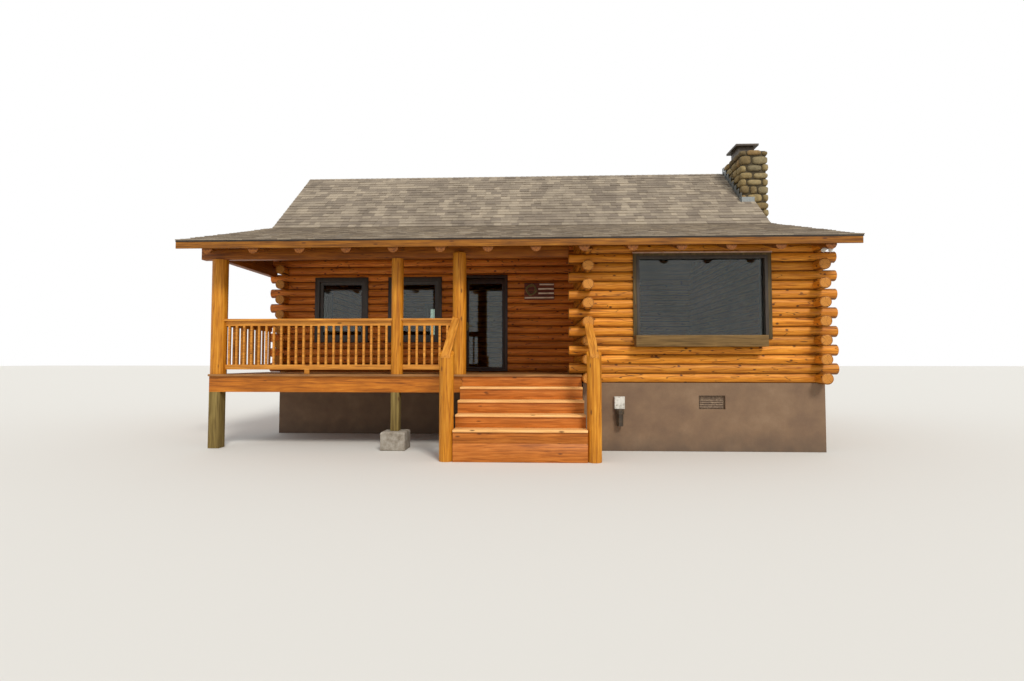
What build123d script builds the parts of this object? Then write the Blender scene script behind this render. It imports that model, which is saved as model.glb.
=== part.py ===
from build123d import *
import math
import os

os.makedirs("parts", exist_ok=True)

# Log cabin, 1:1, millimetres, +Z up, front towards -Y.
# The origin is on the ground under the middle of the whole building.

# Log walls
log_radius = 100
log_course = 165
log_base = 1200
log_reach = 320
log_facets = 4
eave_courses = 15
porch_wall_courses = 19
back_wall_courses = 18
gable_courses = 33

# Plan, between the centre lines of the log walls
house_length = 10550
wing_width = 4050
porch_depth = 2100
house_depth = 5400

# Foundation
footing_outside = 80
footing_inside = 200

# Roof
roof_overhang_left = 660
roof_overhang_right = 430
eave_overhang = 687
back_overhang = 500
roof_thickness = 60
steep_angle = 42.2
break_run = 2711
rafter_radius = 90
rafter_flat = 10
rafter_sides = 12
rafter_spacing = 815
first_rafter_beyond_left = 118
last_rafter_short_of_right = 73
rafter_seat = 25
ridge_cap_width = 150
ridge_cap_thickness = 12
board_thickness = 25
fascia_height = 142
board_joint = 2
ridge_log_radius = 125
purlin_radius = 90
purlin_run = 350

# Chimney
chimney_width = 700
chimney_depth = 1250
chimney_height = 6806
flue_width = 376
flue_depth = 500
flue_height = 200
flue_from_side = 85
flue_from_front = 330
cap_width = 560
cap_depth = 680
cap_thickness = 45
cap_clearance = 10

# Porch
deck_top = 1345
deck_thickness = 38
deck_beyond_left = 374
deck_nose = 45
rim_height = 286
rim_thickness = 38
joist_spacing = 610
post_setback = 130
corner_post_beyond_left = 280
corner_post_radius = 138
middle_post_from_wing = -3448
middle_post_radius = 108
stair_post_from_wing = -2300
stair_post_radius = 123
stair_post_setback = 100
stair_post_lap = 110
corner_leg_width = 200
middle_leg_width = 150
pier_width = 440
pier_height = 330
beam_width = 140
beam_height = 215
beam_beyond_left = 607

# Railings
rail_height = 1015
cap_board_width = 140
rail_board = 38
rail_height_of_board = 89
bottom_rail_gap = 83
baluster_width = 38
baluster_spacing = 140

# Stair
riser_height = 210
tread_run = 280
tread_count = 4
riser_board = 20
stair_left_from_wing = -2230
stair_right_from_wing = -115
stringer_thickness = 45
stringer_depth = 260
newel_radius = 115
newel_height = 1700
newel_behind_riser = 80
handrail_rise = 0.6

# Windows and door
window_width = 1190
window_height = 1440
window_sill = 2000
porch_windows_apart = 450
porch_windows_off_middle = 75
side_window_from_porch_wall = 1900
wing_side_window_from_front = 1500
frame_proud = 20
casing_width = 100
sash_width = 65
sash_depth = 60
glass_thickness = 20
sash_setback = 60
picture_width = 2300
picture_height = 1490
picture_sill = 1970
picture_from_wing = 2023
picture_frame = 55
picture_trim_width = 60
plaque_left_from_wing = -1153
plaque_width = 650
plaque_height = 370
plaque_bottom = 2925
plaque_thickness = 20
flower_box_left_from_wing = 824
flower_box_width = 2256
flower_box_depth = 200
flower_box_height = 197
flower_box_bottom = 1836
flower_box_board = 22
flower_box_rim = 40
door_opening_width = 1000
door_opening_height = 2115
door_right_from_wing = -1520
door_frame_width = 60
threshold_height = 30
door_gap = 5
door_thickness = 45
door_stile = 67
door_bottom_rail = 55
door_top_rail = 104
hinge_radius = 7
hinge_pin_radius = 3.5
hinge_play = 0.3
hinge_sides = 12
hinge_height = 90
hinge_plate = 2.5
hinge_leaf = 40
hinge_from_ends = 180
handle_height = 960

# Small fittings
vent_width = 460
vent_height = 240
vent_bottom = 738
vent_from_wing = 2180
vent_setback = 50
vent_slats = 5
outlet_width = 181
outlet_height = 213
outlet_depth = 70
outlet_bottom = 746
outlet_from_wing = 557
lamp_radius = 72
lamp_height = 300
lamp_hood_height = 90
lamp_hood_chamfer = 32
lamp_body_radius = 55
lamp_sides = 8
flood_radius = 38
flood_length = 85
flood_neck_radius = 18
flood_neck_length = 46
flood_base_radius = 35
flood_from_corner = 10

# Places that follow from the sizes above
bed_angle = math.asin(log_course / 2 / log_radius)
log_flat = log_radius * math.cos(bed_angle)
right_x = (house_length + roof_overhang_left - log_radius - chimney_width) / 2
left_x = right_x - house_length
wing_x = right_x - wing_width
stair_foot = tread_run * tread_count
front_reach = log_radius + stair_foot + deck_nose
back_reach = porch_depth + house_depth + back_overhang + board_thickness
front_y = (front_reach - back_reach) / 2
porch_y = front_y + porch_depth
back_y = porch_y + house_depth
ridge_y = (porch_y + back_y) / 2
wall_face = front_y - log_radius
porch_face = porch_y - log_radius


def course_z(n):
    """Underside of log course n, counted from 0 at the foundation."""
    return log_base + n * log_course


eave_z = course_z(eave_courses)
porch_wall_z = course_z(porch_wall_courses)
floor_top = course_z(1)

# Roof lines, all in the plane across the ridge
shallow_slope = (porch_wall_z - eave_z) / porch_depth
shallow_angle = math.degrees(math.atan(shallow_slope))
steep_slope = math.tan(math.radians(steep_angle))
rafter_depth = (2 * rafter_radius - rafter_flat) / math.cos(math.radians(shallow_angle))
shallow_cover = roof_thickness / math.cos(math.radians(shallow_angle))
steep_cover = roof_thickness / math.cos(math.radians(steep_angle))
break_y = front_y + break_run


def rafter_under(y):
    return eave_z - rafter_seat + shallow_slope * (y - front_y)


def shallow_under(y):
    return rafter_under(y) + rafter_depth


def shallow_top(y):
    return shallow_under(y) + shallow_cover


break_z = shallow_top(break_y)
ridge_z = break_z + steep_slope * (ridge_y - break_y)


def steep_top(y):
    return ridge_z - steep_slope * abs(y - ridge_y)


def steep_under(y):
    return steep_top(y) - steep_cover


# Where the undersides of the two front slopes cross
under_break_y = break_y + (shallow_cover - steep_cover) / (shallow_slope - steep_slope)
under_break_z = shallow_under(under_break_y)
roof_left = left_x - roof_overhang_left
roof_right = right_x + roof_overhang_right
eave_y = front_y - eave_overhang
back_eave_y = back_y + back_overhang
chimney_left = right_x + log_radius
chimney_front = ridge_y - chimney_depth
chimney_x = (chimney_left, chimney_left + chimney_width)
chimney_y = (chimney_front, ridge_y)
flue_x = (chimney_left + flue_from_side, chimney_left + flue_from_side + flue_width)
flue_y = (chimney_front + flue_from_front, chimney_front + flue_from_front + flue_depth)
flue_z = (chimney_height, chimney_height + flue_height)
cap_x = (sum(flue_x) / 2 - cap_width / 2, sum(flue_x) / 2 + cap_width / 2)
cap_y = (sum(flue_y) / 2 - cap_depth / 2, sum(flue_y) / 2 + cap_depth / 2)
cap_z = (flue_z[1], flue_z[1] + cap_thickness)


def log_side(centre, side, n):
    """Corners of the hewn round on one side of log course n, from its lower bed up."""
    angles = [bed_angle * (2 * i / log_facets - 1) for i in range(log_facets + 1)]
    middle = course_z(n) + log_course / 2
    return [(centre + side * log_radius * math.cos(a), middle + log_radius * math.sin(a)) for a in angles]


def log_stack(centre, first, last):
    """Face of a stack of round logs with flat beds, drawn in a sketch."""
    right = [point for n in range(first, last) for point in log_side(centre, 1, n)[:-1]]
    left = [point for n in range(first, last) for point in log_side(centre, -1, n)[:-1]]
    top = [(centre + log_flat, course_z(last)), (centre - log_flat, course_z(last))]
    with BuildLine() as outline:
        Polyline(*right, *top, *reversed(left), close=True)
    make_face(outline.edges())


def butt_notches(centre, outward, courses):
    """Faces that cut a wall's courses back to the round side of a crossing log."""
    end = centre + outward * 2 * log_radius
    for n in courses:
        with BuildLine() as outline:
            Polyline(*log_side(centre, -outward, n), (end, course_z(n + 1)), (end, course_z(n)), close=True)
        make_face(outline.edges())


def log_ends(centre, courses):
    """Faces of the full round log ends beyond a corner."""
    for n in courses:
        middle = course_z(n) + log_course / 2
        with BuildLine() as outline:
            Polyline(*log_side(centre, 1, n), (centre, middle + log_radius),
                     *reversed(log_side(centre, -1, n)), (centre, middle - log_radius), close=True)
        make_face(outline.edges())


def under_roof(first_y, last_y, bottom):
    """Outline of what lies under the roof boards between two places."""
    points = [(first_y, bottom), (last_y, bottom)]
    points.append((last_y, shallow_under(last_y) if last_y < under_break_y else steep_under(last_y)))
    if first_y < ridge_y < last_y:
        points.append((ridge_y, steep_under(ridge_y)))
    if first_y < under_break_y < last_y:
        points.append((under_break_y, under_break_z))
    points.append((first_y, shallow_under(first_y) if first_y < under_break_y else steep_under(first_y)))
    with BuildLine() as outline:
        Polyline(*points, close=True)
    make_face(outline.edges())


def box(x, y, z, mode=Mode.ADD):
    """Box between two limits on each axis."""
    with Locations(((x[0] + x[1]) / 2, (y[0] + y[1]) / 2, (z[0] + z[1]) / 2)):
        Box(x[1] - x[0], y[1] - y[0], z[1] - z[0], mode=mode)


def at_x(x):
    return Plane.YZ.offset(x)


def at_y(y):
    return Plane.XZ.offset(-y)


def open_for_cap():
    """Cuts room about the chimney's flue and cap, where they stand as low as the roof."""
    for x, y, z in ((flue_x, flue_y, flue_z), (cap_x, cap_y, cap_z)):
        box((x[0] - cap_clearance, x[1] + cap_clearance), (y[0] - cap_clearance, y[1] + cap_clearance),
            (z[0], z[1] + cap_clearance), mode=Mode.SUBTRACT)


def open_for_chimney():
    """Cuts the passage of the chimney and its cap through the roof."""
    box(chimney_x, chimney_y, (0, chimney_height), mode=Mode.SUBTRACT)
    open_for_cap()


def save(name, builder):
    builder.part.label = name
    export_step(builder.part, f"parts/{name}.step")


odd = range(1, eave_courses, 2)
even = range(0, eave_courses, 2)

# Foundation walls, in painted masonry, with a ledge inside for the floor
with BuildPart() as foundation_long_walls:
    box((wing_x - footing_outside, right_x + footing_outside),
        (front_y - footing_outside, front_y + footing_inside), (0, log_base))
    box((left_x - footing_outside, wing_x + footing_inside),
        (porch_y - footing_outside, porch_y + footing_inside), (0, log_base))
    box((left_x - footing_outside, right_x + footing_outside),
        (back_y - footing_inside, back_y + footing_outside), (0, log_base))
    vent_x = wing_x + vent_from_wing
    box((vent_x - vent_width / 2, vent_x + vent_width / 2),
        (front_y - footing_outside, front_y - footing_outside + vent_setback + board_thickness),
        (vent_bottom, vent_bottom + vent_height), mode=Mode.SUBTRACT)
save("foundation_long_walls", foundation_long_walls)

with BuildPart() as foundation_side_walls:
    box((left_x - footing_outside, left_x + footing_inside),
        (porch_y + footing_inside, back_y - footing_inside), (0, log_base))
    box((right_x - footing_inside, right_x + footing_outside),
        (front_y + footing_inside, back_y - footing_inside), (0, log_base))
    box((wing_x - footing_outside, wing_x + footing_inside),
        (front_y + footing_inside, porch_y - footing_outside), (0, log_base))
save("foundation_side_walls", foundation_side_walls)

# Louvred vent, set back in its recess
with BuildPart() as foundation_vent:
    vent_front = front_y - footing_outside + vent_setback
    box((vent_x - vent_width / 2, vent_x + vent_width / 2),
        (vent_front, vent_front + board_thickness), (vent_bottom, vent_bottom + vent_height))
    slat_pitch = vent_height / (vent_slats + 1)
    for slat in range(vent_slats):
        slat_z = vent_bottom + slat_pitch * (slat + 1)
        with BuildSketch(at_x(vent_x - vent_width / 2 + board_thickness)):
            with BuildLine():
                Polyline((vent_front, slat_z + slat_pitch / 3), (vent_front, slat_z - slat_pitch / 3),
                         (vent_front - slat_pitch / 2, slat_z - slat_pitch / 3), close=True)
            make_face()
        extrude(amount=vent_width - 2 * board_thickness)
save("foundation_vent", foundation_vent)

# Floors, flush with the first log course and resting on the foundation's ledge
with BuildPart() as main_floor:
    box((left_x + log_radius, right_x - log_radius), (porch_y + log_radius, back_y - log_radius),
        (log_base, floor_top))
save("main_floor", main_floor)

with BuildPart() as wing_floor:
    box((wing_x + log_radius, right_x - log_radius), (front_y + log_radius, porch_y + log_radius),
        (log_base, floor_top))
save("wing_floor", wing_floor)

# Log rafters: round logs under the shallow roof, flattened on top, notched over the
# plate logs, with their tails behind the fascia
rafter_run = house_length + first_rafter_beyond_left - last_rafter_short_of_right
rafter_bays = round(rafter_run / rafter_spacing)
rafter_xs = [left_x - first_rafter_beyond_left + i * rafter_run / rafter_bays
             for i in range(rafter_bays + 1)]
rafter_lift = rafter_radius / math.cos(math.radians(shallow_angle))
tail_y = eave_y + board_thickness
head_y = break_y - board_thickness
with BuildPart() as log_rafters:
    rafter_plane = Plane(
        origin=(0, eave_y - rafter_radius, rafter_under(eave_y - rafter_radius) + rafter_lift),
        x_dir=(-1, 0, 0),
        z_dir=(0, math.cos(math.radians(shallow_angle)), math.sin(math.radians(shallow_angle))),
    )
    with BuildSketch(rafter_plane):
        with Locations(*[(-x, 0) for x in rafter_xs]):
            RegularPolygon(rafter_radius, rafter_sides, major_radius=False, rotation=180 / rafter_sides)
        with Locations(*[(-x, 2 * rafter_radius - rafter_flat) for x in rafter_xs]):
            Rectangle(2 * rafter_radius, 2 * rafter_radius, mode=Mode.SUBTRACT)
    extrude(amount=(head_y - eave_y + 3 * rafter_radius) / math.cos(math.radians(shallow_angle)))
    box((rafter_xs[0] - rafter_spacing, rafter_xs[-1] + rafter_spacing), (tail_y, head_y),
        (log_base, ridge_z), mode=Mode.INTERSECT)
    for plate_y, plate_z in ((front_y, eave_z), (porch_y, porch_wall_z)):
        box((rafter_xs[0] - rafter_spacing, rafter_xs[-1] + rafter_spacing),
            (plate_y - log_radius, plate_y + log_radius), (plate_z - log_course, plate_z),
            mode=Mode.SUBTRACT)
save("log_rafters", log_rafters)

# Ends of the wing's top side logs, hewn to the slope of the rafters over them
with BuildPart() as top_log_ends:
    with BuildSketch(at_y(wall_face)):
        log_ends(wing_x, even[-1:])
        log_ends(right_x, even[-1:])
    extrude(amount=log_reach - log_radius)
    reach_y = front_y - log_reach
    with BuildSketch(at_x(wing_x - 2 * log_radius)):
        with BuildLine():
            Polyline((reach_y, rafter_under(reach_y)), (wall_face, rafter_under(wall_face)),
                     (wall_face, eave_z + log_course), (reach_y, eave_z + log_course), close=True)
        make_face()
    extrude(amount=wing_width + 4 * log_radius, mode=Mode.SUBTRACT)

# Front wall of the wing, with the picture window's opening
with BuildPart() as wing_front_wall:
    with BuildSketch(at_x(wing_x - log_radius)):
        log_stack(front_y, 0, eave_courses)
    extrude(amount=wing_width + 2 * log_radius)
    with BuildSketch(at_y(front_y)):
        butt_notches(wing_x, -1, even)
        butt_notches(right_x, 1, even)
    extrude(amount=log_radius, both=True, mode=Mode.SUBTRACT)
    for corner_x, reach in ((wing_x - log_reach, 0), (right_x + log_radius, 0)):
        with BuildSketch(at_x(corner_x)):
            log_ends(front_y, odd)
        extrude(amount=log_reach - log_radius)
    picture_x = wing_x + picture_from_wing
    box((picture_x - picture_width / 2, picture_x + picture_width / 2),
        (front_y - 2 * log_radius, front_y + 2 * log_radius),
        (picture_sill, picture_sill + picture_height), mode=Mode.SUBTRACT)
save("wing_front_wall", wing_front_wall)

# Side wall of the wing, which closes the right end of the porch up to the roof
with BuildPart() as wing_side_wall:
    with BuildSketch(at_y(porch_y)):
        log_stack(wing_x, 0, porch_wall_courses + 1)
    extrude(amount=porch_depth + log_radius)
    with BuildSketch(at_x(wing_x)):
        butt_notches(front_y, -1, odd)
        log_stack(porch_y, 0, porch_wall_courses)
    extrude(amount=log_radius, both=True, mode=Mode.SUBTRACT)
    with BuildSketch(at_x(wing_x - log_radius)):
        under_roof(wall_face, porch_y, log_base)
    extrude(amount=2 * log_radius, mode=Mode.INTERSECT)
    add(log_rafters.part, mode=Mode.SUBTRACT)
    with BuildSketch(at_y(wall_face)):
        log_ends(wing_x, even[:-1])
    extrude(amount=log_reach - log_radius)
    add(top_log_ends.solids().sort_by(Axis.X)[0])
save("wing_side_wall", wing_side_wall)

# Recessed wall behind the porch: left of the door, at the door, right of the door
door_right = wing_x + door_right_from_wing
door_left = door_right - door_opening_width
door_head = floor_top + door_opening_height
windows_middle = (left_x + log_radius + door_left) / 2 + porch_windows_off_middle
windows_step = window_width + porch_windows_apart
windows_x = [windows_middle - windows_step / 2, windows_middle + windows_step / 2]
with BuildPart() as porch_wall_left:
    with BuildSketch(at_x(left_x - log_radius)):
        log_stack(porch_y, 0, porch_wall_courses)
    extrude(amount=door_left - left_x + log_radius)
    with BuildSketch(at_y(porch_y)):
        butt_notches(left_x, -1, range(0, porch_wall_courses, 2))
    extrude(amount=log_radius, both=True, mode=Mode.SUBTRACT)
    with BuildSketch(at_x(left_x - log_reach)):
        log_ends(porch_y, range(1, porch_wall_courses, 2))
    extrude(amount=log_reach - log_radius)
    for x in windows_x:
        box((x - window_width / 2, x + window_width / 2),
            (porch_y - 2 * log_radius, porch_y + 2 * log_radius),
            (window_sill, window_sill + window_height), mode=Mode.SUBTRACT)
save("porch_wall_left", porch_wall_left)

with BuildPart() as porch_wall_middle:
    with BuildSketch(at_x(door_left)):
        log_stack(porch_y, 0, porch_wall_courses)
    extrude(amount=door_opening_width)
    box((door_left, door_right), (porch_y - 2 * log_radius, porch_y + 2 * log_radius),
        (floor_top, door_head), mode=Mode.SUBTRACT)
save("porch_wall_middle", porch_wall_middle)

with BuildPart() as porch_wall_right:
    with BuildSketch(at_x(door_right)):
        log_stack(porch_y, 0, porch_wall_courses)
    extrude(amount=wing_x + log_radius - door_right)
save("porch_wall_right", porch_wall_right)

# Gable-end walls up to the eave
with BuildPart() as left_wall:
    with BuildSketch(at_y(back_y + log_radius)):
        log_stack(left_x, 0, eave_courses)
    extrude(amount=house_depth + 2 * log_radius)
    with BuildSketch(at_x(left_x)):
        butt_notches(porch_y, -1, odd)
        butt_notches(back_y, 1, odd)
    extrude(amount=log_radius, both=True, mode=Mode.SUBTRACT)
    with BuildSketch(at_y(porch_face)):
        log_ends(left_x, even[1:])
    extrude(amount=log_reach - log_radius)
    with BuildSketch(at_y(back_y + log_reach)):
        log_ends(left_x, even)
    extrude(amount=log_reach - log_radius)
    side_window_y = porch_y + side_window_from_porch_wall
    box((left_x - 2 * log_radius, left_x + 2 * log_radius),
        (side_window_y - window_width / 2, side_window_y + window_width / 2),
        (window_sill, window_sill + window_height), mode=Mode.SUBTRACT)
save("left_wall", left_wall)

with BuildPart() as right_wall:
    with BuildSketch(at_y(back_y + log_radius)):
        log_stack(right_x, 0, eave_courses)
    extrude(amount=porch_depth + house_depth + 2 * log_radius)
    with BuildSketch(at_x(right_x)):
        butt_notches(front_y, -1, odd)
        butt_notches(back_y, 1, odd)
    extrude(amount=log_radius, both=True, mode=Mode.SUBTRACT)
    with BuildSketch(at_y(wall_face)):
        log_ends(right_x, even[:-1])
    extrude(amount=log_reach - log_radius)
    add(top_log_ends.solids().sort_by(Axis.X)[-1])
    with BuildSketch(at_y(back_y + log_reach)):
        log_ends(right_x, even)
    extrude(amount=log_reach - log_radius)
    wing_window_y = front_y + wing_side_window_from_front
    box((right_x - 2 * log_radius, right_x + 2 * log_radius),
        (wing_window_y - window_width / 2, wing_window_y + window_width / 2),
        (window_sill, window_sill + window_height), mode=Mode.SUBTRACT)
save("right_wall", right_wall)

# Back wall, its top log hewn to the roof slope
back_windows_x = [left_x + house_length / 4, right_x - house_length / 4]
with BuildPart() as back_wall:
    with BuildSketch(at_x(left_x - log_radius)):
        log_stack(back_y, 0, back_wall_courses)
    extrude(amount=house_length + 2 * log_radius)
    with BuildSketch(at_y(back_y)):
        butt_notches(left_x, -1, range(0, back_wall_courses, 2))
        butt_notches(right_x, 1, range(0, back_wall_courses, 2))
    extrude(amount=log_radius, both=True, mode=Mode.SUBTRACT)
    with BuildSketch(at_x(left_x - log_radius)):
        under_roof(back_y - log_radius, back_y + log_radius, log_base)
    extrude(amount=house_length + 2 * log_radius, mode=Mode.INTERSECT)
    for corner_x in (left_x - log_reach, right_x + log_radius):
        with BuildSketch(at_x(corner_x)):
            log_ends(back_y, odd)
        extrude(amount=log_reach - log_radius)
    for x in back_windows_x:
        box((x - window_width / 2, x + window_width / 2),
            (back_y - 2 * log_radius, back_y + 2 * log_radius),
            (window_sill, window_sill + window_height), mode=Mode.SUBTRACT)
save("back_wall", back_wall)

# Log gables under the steep roof
with BuildPart() as gable_walls:
    for x, corners in ((left_x, (porch_y, back_y)), (right_x, (back_y,))):
        with BuildSketch(at_y(back_y + log_radius)):
            log_stack(x, eave_courses, gable_courses)
        extrude(amount=house_depth + 2 * log_radius)
        with BuildSketch(at_x(x)):
            butt_notches(back_y, 1, range(eave_courses, back_wall_courses, 2))
            if porch_y in corners:
                butt_notches(porch_y, -1, range(eave_courses, porch_wall_courses, 2))
        extrude(amount=log_radius, both=True, mode=Mode.SUBTRACT)
    with BuildSketch(at_x(left_x - log_radius)):
        under_roof(porch_face, back_y + log_radius, eave_z)
    extrude(amount=house_length + 2 * log_radius, mode=Mode.INTERSECT)
    add(log_rafters.part, mode=Mode.SUBTRACT)
    open_for_cap()
save("gable_walls", gable_walls)

with BuildPart() as wing_gable:
    with BuildSketch(at_y(porch_face)):
        log_stack(right_x, eave_courses, porch_wall_courses + 1)
    extrude(amount=porch_depth)
    with BuildSketch(at_x(right_x - log_radius)):
        under_roof(wall_face, porch_face, eave_z)
    extrude(amount=2 * log_radius, mode=Mode.INTERSECT)
    add(log_rafters.part, mode=Mode.SUBTRACT)
save("wing_gable", wing_gable)

# Porch beams
post_y = wall_face + post_setback
beam_front = post_y - beam_width / 2
beam_back = post_y + beam_width / 2
corner_post_x = left_x - corner_post_beyond_left
with BuildPart() as header_beam:
    box((left_x - beam_beyond_left, wing_x - log_reach), (beam_front, beam_back),
        (eave_z - beam_height, eave_z))
save("header_beam", header_beam)

with BuildPart() as side_beam:
    box((corner_post_x - beam_width / 2, corner_post_x + beam_width / 2), (beam_back, porch_y),
        (eave_z - beam_height, eave_z))
    add(porch_wall_left.part, mode=Mode.SUBTRACT)
save("side_beam", side_beam)

# Boards that close the left end of the porch between the side beam and the roof
with BuildPart() as porch_gable_board:
    with BuildSketch(at_x(corner_post_x - board_thickness / 2)):
        under_roof(beam_front, porch_face, eave_z)
    extrude(amount=board_thickness)
save("porch_gable_board", porch_gable_board)

# Frieze boards between the rafters, on top of the two front walls
with BuildPart() as frieze_boards:
    wing_stops = [wing_x + log_radius] + [x for x in rafter_xs if x > wing_x]
    porch_stops = [left_x + log_radius] + [x for x in rafter_xs[1:] if x < wing_x]
    for stops, y, bottom in ((wing_stops, front_y, eave_z), (porch_stops, porch_y, porch_wall_z)):
        for start, end in zip(stops, stops[1:]):
            first = start + (rafter_radius if start in rafter_xs else 0)
            last = end - (rafter_radius if end in rafter_xs else 0)
            with BuildSketch(at_x(first)):
                under_roof(y - board_thickness / 2, y + board_thickness / 2, bottom)
            extrude(amount=last - first)
save("frieze_boards", frieze_boards)

# Roof boards and shingles, one slab to each slope
slab_left = roof_left + board_thickness
slab_length = roof_right - board_thickness - slab_left
with BuildPart() as porch_roof:
    with BuildSketch(at_x(slab_left)):
        with BuildLine():
            Polyline((tail_y, shallow_under(tail_y)), (tail_y, shallow_top(tail_y)), (break_y, break_z),
                     (under_break_y, under_break_z), close=True)
        make_face()
    extrude(amount=slab_length)
save("porch_roof", porch_roof)

with BuildPart() as front_roof:
    with BuildSketch(at_x(slab_left)):
        with BuildLine():
            Polyline((break_y, break_z), (ridge_y, ridge_z), (ridge_y, ridge_z - steep_cover),
                     (under_break_y, under_break_z), close=True)
        make_face()
    extrude(amount=slab_length)
    open_for_chimney()
save("front_roof", front_roof)

with BuildPart() as back_roof:
    with BuildSketch(at_x(slab_left)):
        with BuildLine():
            Polyline((ridge_y, ridge_z), (back_eave_y, steep_top(back_eave_y)),
                     (back_eave_y, steep_under(back_eave_y)), (ridge_y, ridge_z - steep_cover), close=True)
        make_face()
    extrude(amount=slab_length)
save("back_roof", back_roof)

with BuildPart() as ridge_cap:
    cap_lift = ridge_cap_thickness / math.cos(math.radians(steep_angle))
    cap_run = ridge_cap_width * math.cos(math.radians(steep_angle))
    with BuildSketch(at_x(roof_left)):
        with BuildLine():
            Polyline((ridge_y - cap_run, steep_top(ridge_y - cap_run)), (ridge_y, ridge_z),
                     (ridge_y + cap_run, steep_top(ridge_y + cap_run)),
                     (ridge_y + cap_run, steep_top(ridge_y + cap_run) + cap_lift),
                     (ridge_y, ridge_z + cap_lift),
                     (ridge_y - cap_run, steep_top(ridge_y - cap_run) + cap_lift), close=True)
        make_face()
    extrude(amount=roof_right - roof_left)
    open_for_chimney()
save("ridge_cap", ridge_cap)

# Ridge log and purlins, from gable to gable under the steep slopes
with BuildPart() as purlins:
    with BuildSketch(at_x(left_x + log_radius)):
        ridge_drop = (ridge_log_radius) / math.cos(math.radians(steep_angle))
        with Locations((ridge_y, ridge_z - steep_cover - ridge_drop)):
            Circle(ridge_log_radius)
        purlin_drop = purlin_radius / math.cos(math.radians(steep_angle))
        purlin_y = break_y + purlin_run
        with Locations((purlin_y, steep_under(purlin_y) - purlin_drop),
                       (2 * ridge_y - purlin_y, steep_under(purlin_y) - purlin_drop)):
            Circle(purlin_radius)
    extrude(amount=house_length - 2 * log_radius)
save("purlins", purlins)

# Fascia boards along both eaves
with BuildPart() as fascia_boards:
    front_top = shallow_top(eave_y)
    box((roof_left, roof_right), (eave_y, tail_y), (front_top - fascia_height, front_top))
    back_top = steep_top(back_eave_y + board_thickness)
    box((roof_left, roof_right), (back_eave_y, back_eave_y + board_thickness),
        (back_top - fascia_height, back_top))
save("fascia_boards", fascia_boards)

# Rake boards up both gable ends, the right one stopped at the chimney
with BuildPart() as rake_boards:
    shallow_drop = fascia_height / math.cos(math.radians(shallow_angle))
    steep_drop = fascia_height / math.cos(math.radians(steep_angle))
    for x, steep_end in ((roof_left, ridge_y), (roof_right - board_thickness, chimney_front)):
        runs = ((tail_y, break_y - board_joint, shallow_top, shallow_drop),
                (break_y, steep_end - board_joint * (steep_end == ridge_y), steep_top, steep_drop),
                (ridge_y, back_eave_y, steep_top, steep_drop))
        for start, end, top, drop in runs:
            with BuildSketch(at_x(x)):
                with BuildLine():
                    Polyline((start, top(start)), (end, top(end)), (end, top(end) - drop),
                             (start, top(start) - drop), close=True)
                make_face()
            extrude(amount=board_thickness)
save("rake_boards", rake_boards)

# Fieldstone chimney on the outside of the right gable, with a sheet-metal cap
with BuildPart() as chimney_stack:
    box(chimney_x, chimney_y, (0, chimney_height))
save("chimney_stack", chimney_stack)

with BuildPart() as chimney_cap:
    box(flue_x, flue_y, flue_z)
    box(cap_x, cap_y, cap_z)
save("chimney_cap", chimney_cap)

# Porch deck and its frame of rim boards and joists
deck_left = left_x - deck_beyond_left
deck_right = wing_x - log_radius
deck_under = deck_top - deck_thickness
rim_under = deck_under - rim_height
with BuildPart() as porch_deck:
    box((deck_left, deck_right), (wall_face - deck_nose, porch_face), (deck_under, deck_top))
save("porch_deck", porch_deck)

with BuildPart() as deck_frame:
    box((deck_left, deck_right), (wall_face, porch_face), (rim_under, deck_under))
    joist_bays = math.ceil((deck_right - deck_left) / joist_spacing)
    bay = (deck_right - deck_left - rim_thickness) / joist_bays
    for i in range(joist_bays):
        start = deck_left + rim_thickness + i * bay
        box((start, start + bay - rim_thickness), (wall_face + rim_thickness, porch_face - rim_thickness),
            (rim_under, deck_under), mode=Mode.SUBTRACT)
save("deck_frame", deck_frame)

# Legs under the deck, the middle one on a concrete pier
middle_post_x = wing_x + middle_post_from_wing
stair_post_x = wing_x + stair_post_from_wing
with BuildPart() as deck_legs:
    leg_x = deck_left + corner_leg_width / 2
    box((leg_x - corner_leg_width / 2, leg_x + corner_leg_width / 2),
        (wall_face, wall_face + corner_leg_width), (0, rim_under))
    box((middle_post_x - middle_leg_width / 2, middle_post_x + middle_leg_width / 2),
        (wall_face, wall_face + middle_leg_width), (pier_height, rim_under))
save("deck_legs", deck_legs)

with BuildPart() as concrete_pier:
    pier_y = wall_face + middle_leg_width / 2
    box((middle_post_x - pier_width / 2, middle_post_x + pier_width / 2),
        (pier_y - pier_width / 2, pier_y + pier_width / 2), (0, pier_height))
    chamfer(concrete_pier.edges().group_by(Axis.Z)[-1], 20)
save("concrete_pier", concrete_pier)

# Peeled log posts; the one at the stair laps over the beam's face
beam_under = eave_z - beam_height
with BuildPart() as porch_posts:
    for x, radius in ((corner_post_x, corner_post_radius), (middle_post_x, middle_post_radius)):
        with BuildSketch(Plane.XY.offset(deck_top)):
            with Locations((x, post_y)):
                Circle(radius)
        extrude(amount=beam_under - deck_top)
    with BuildSketch(Plane.XY.offset(deck_top)):
        with Locations((stair_post_x, wall_face + stair_post_setback)):
            Circle(stair_post_radius)
    extrude(amount=beam_under + stair_post_lap - deck_top)
    chamfer(porch_posts.edges().group_by(Axis.Z)[-1], stair_post_radius / 5)
    add(header_beam.part, mode=Mode.SUBTRACT)
    box((stair_post_x - stair_post_radius, stair_post_x + stair_post_radius),
        (beam_back, beam_back + stair_post_radius), (beam_under, beam_under + stair_post_lap),
        mode=Mode.SUBTRACT)
save("porch_posts", porch_posts)

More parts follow.
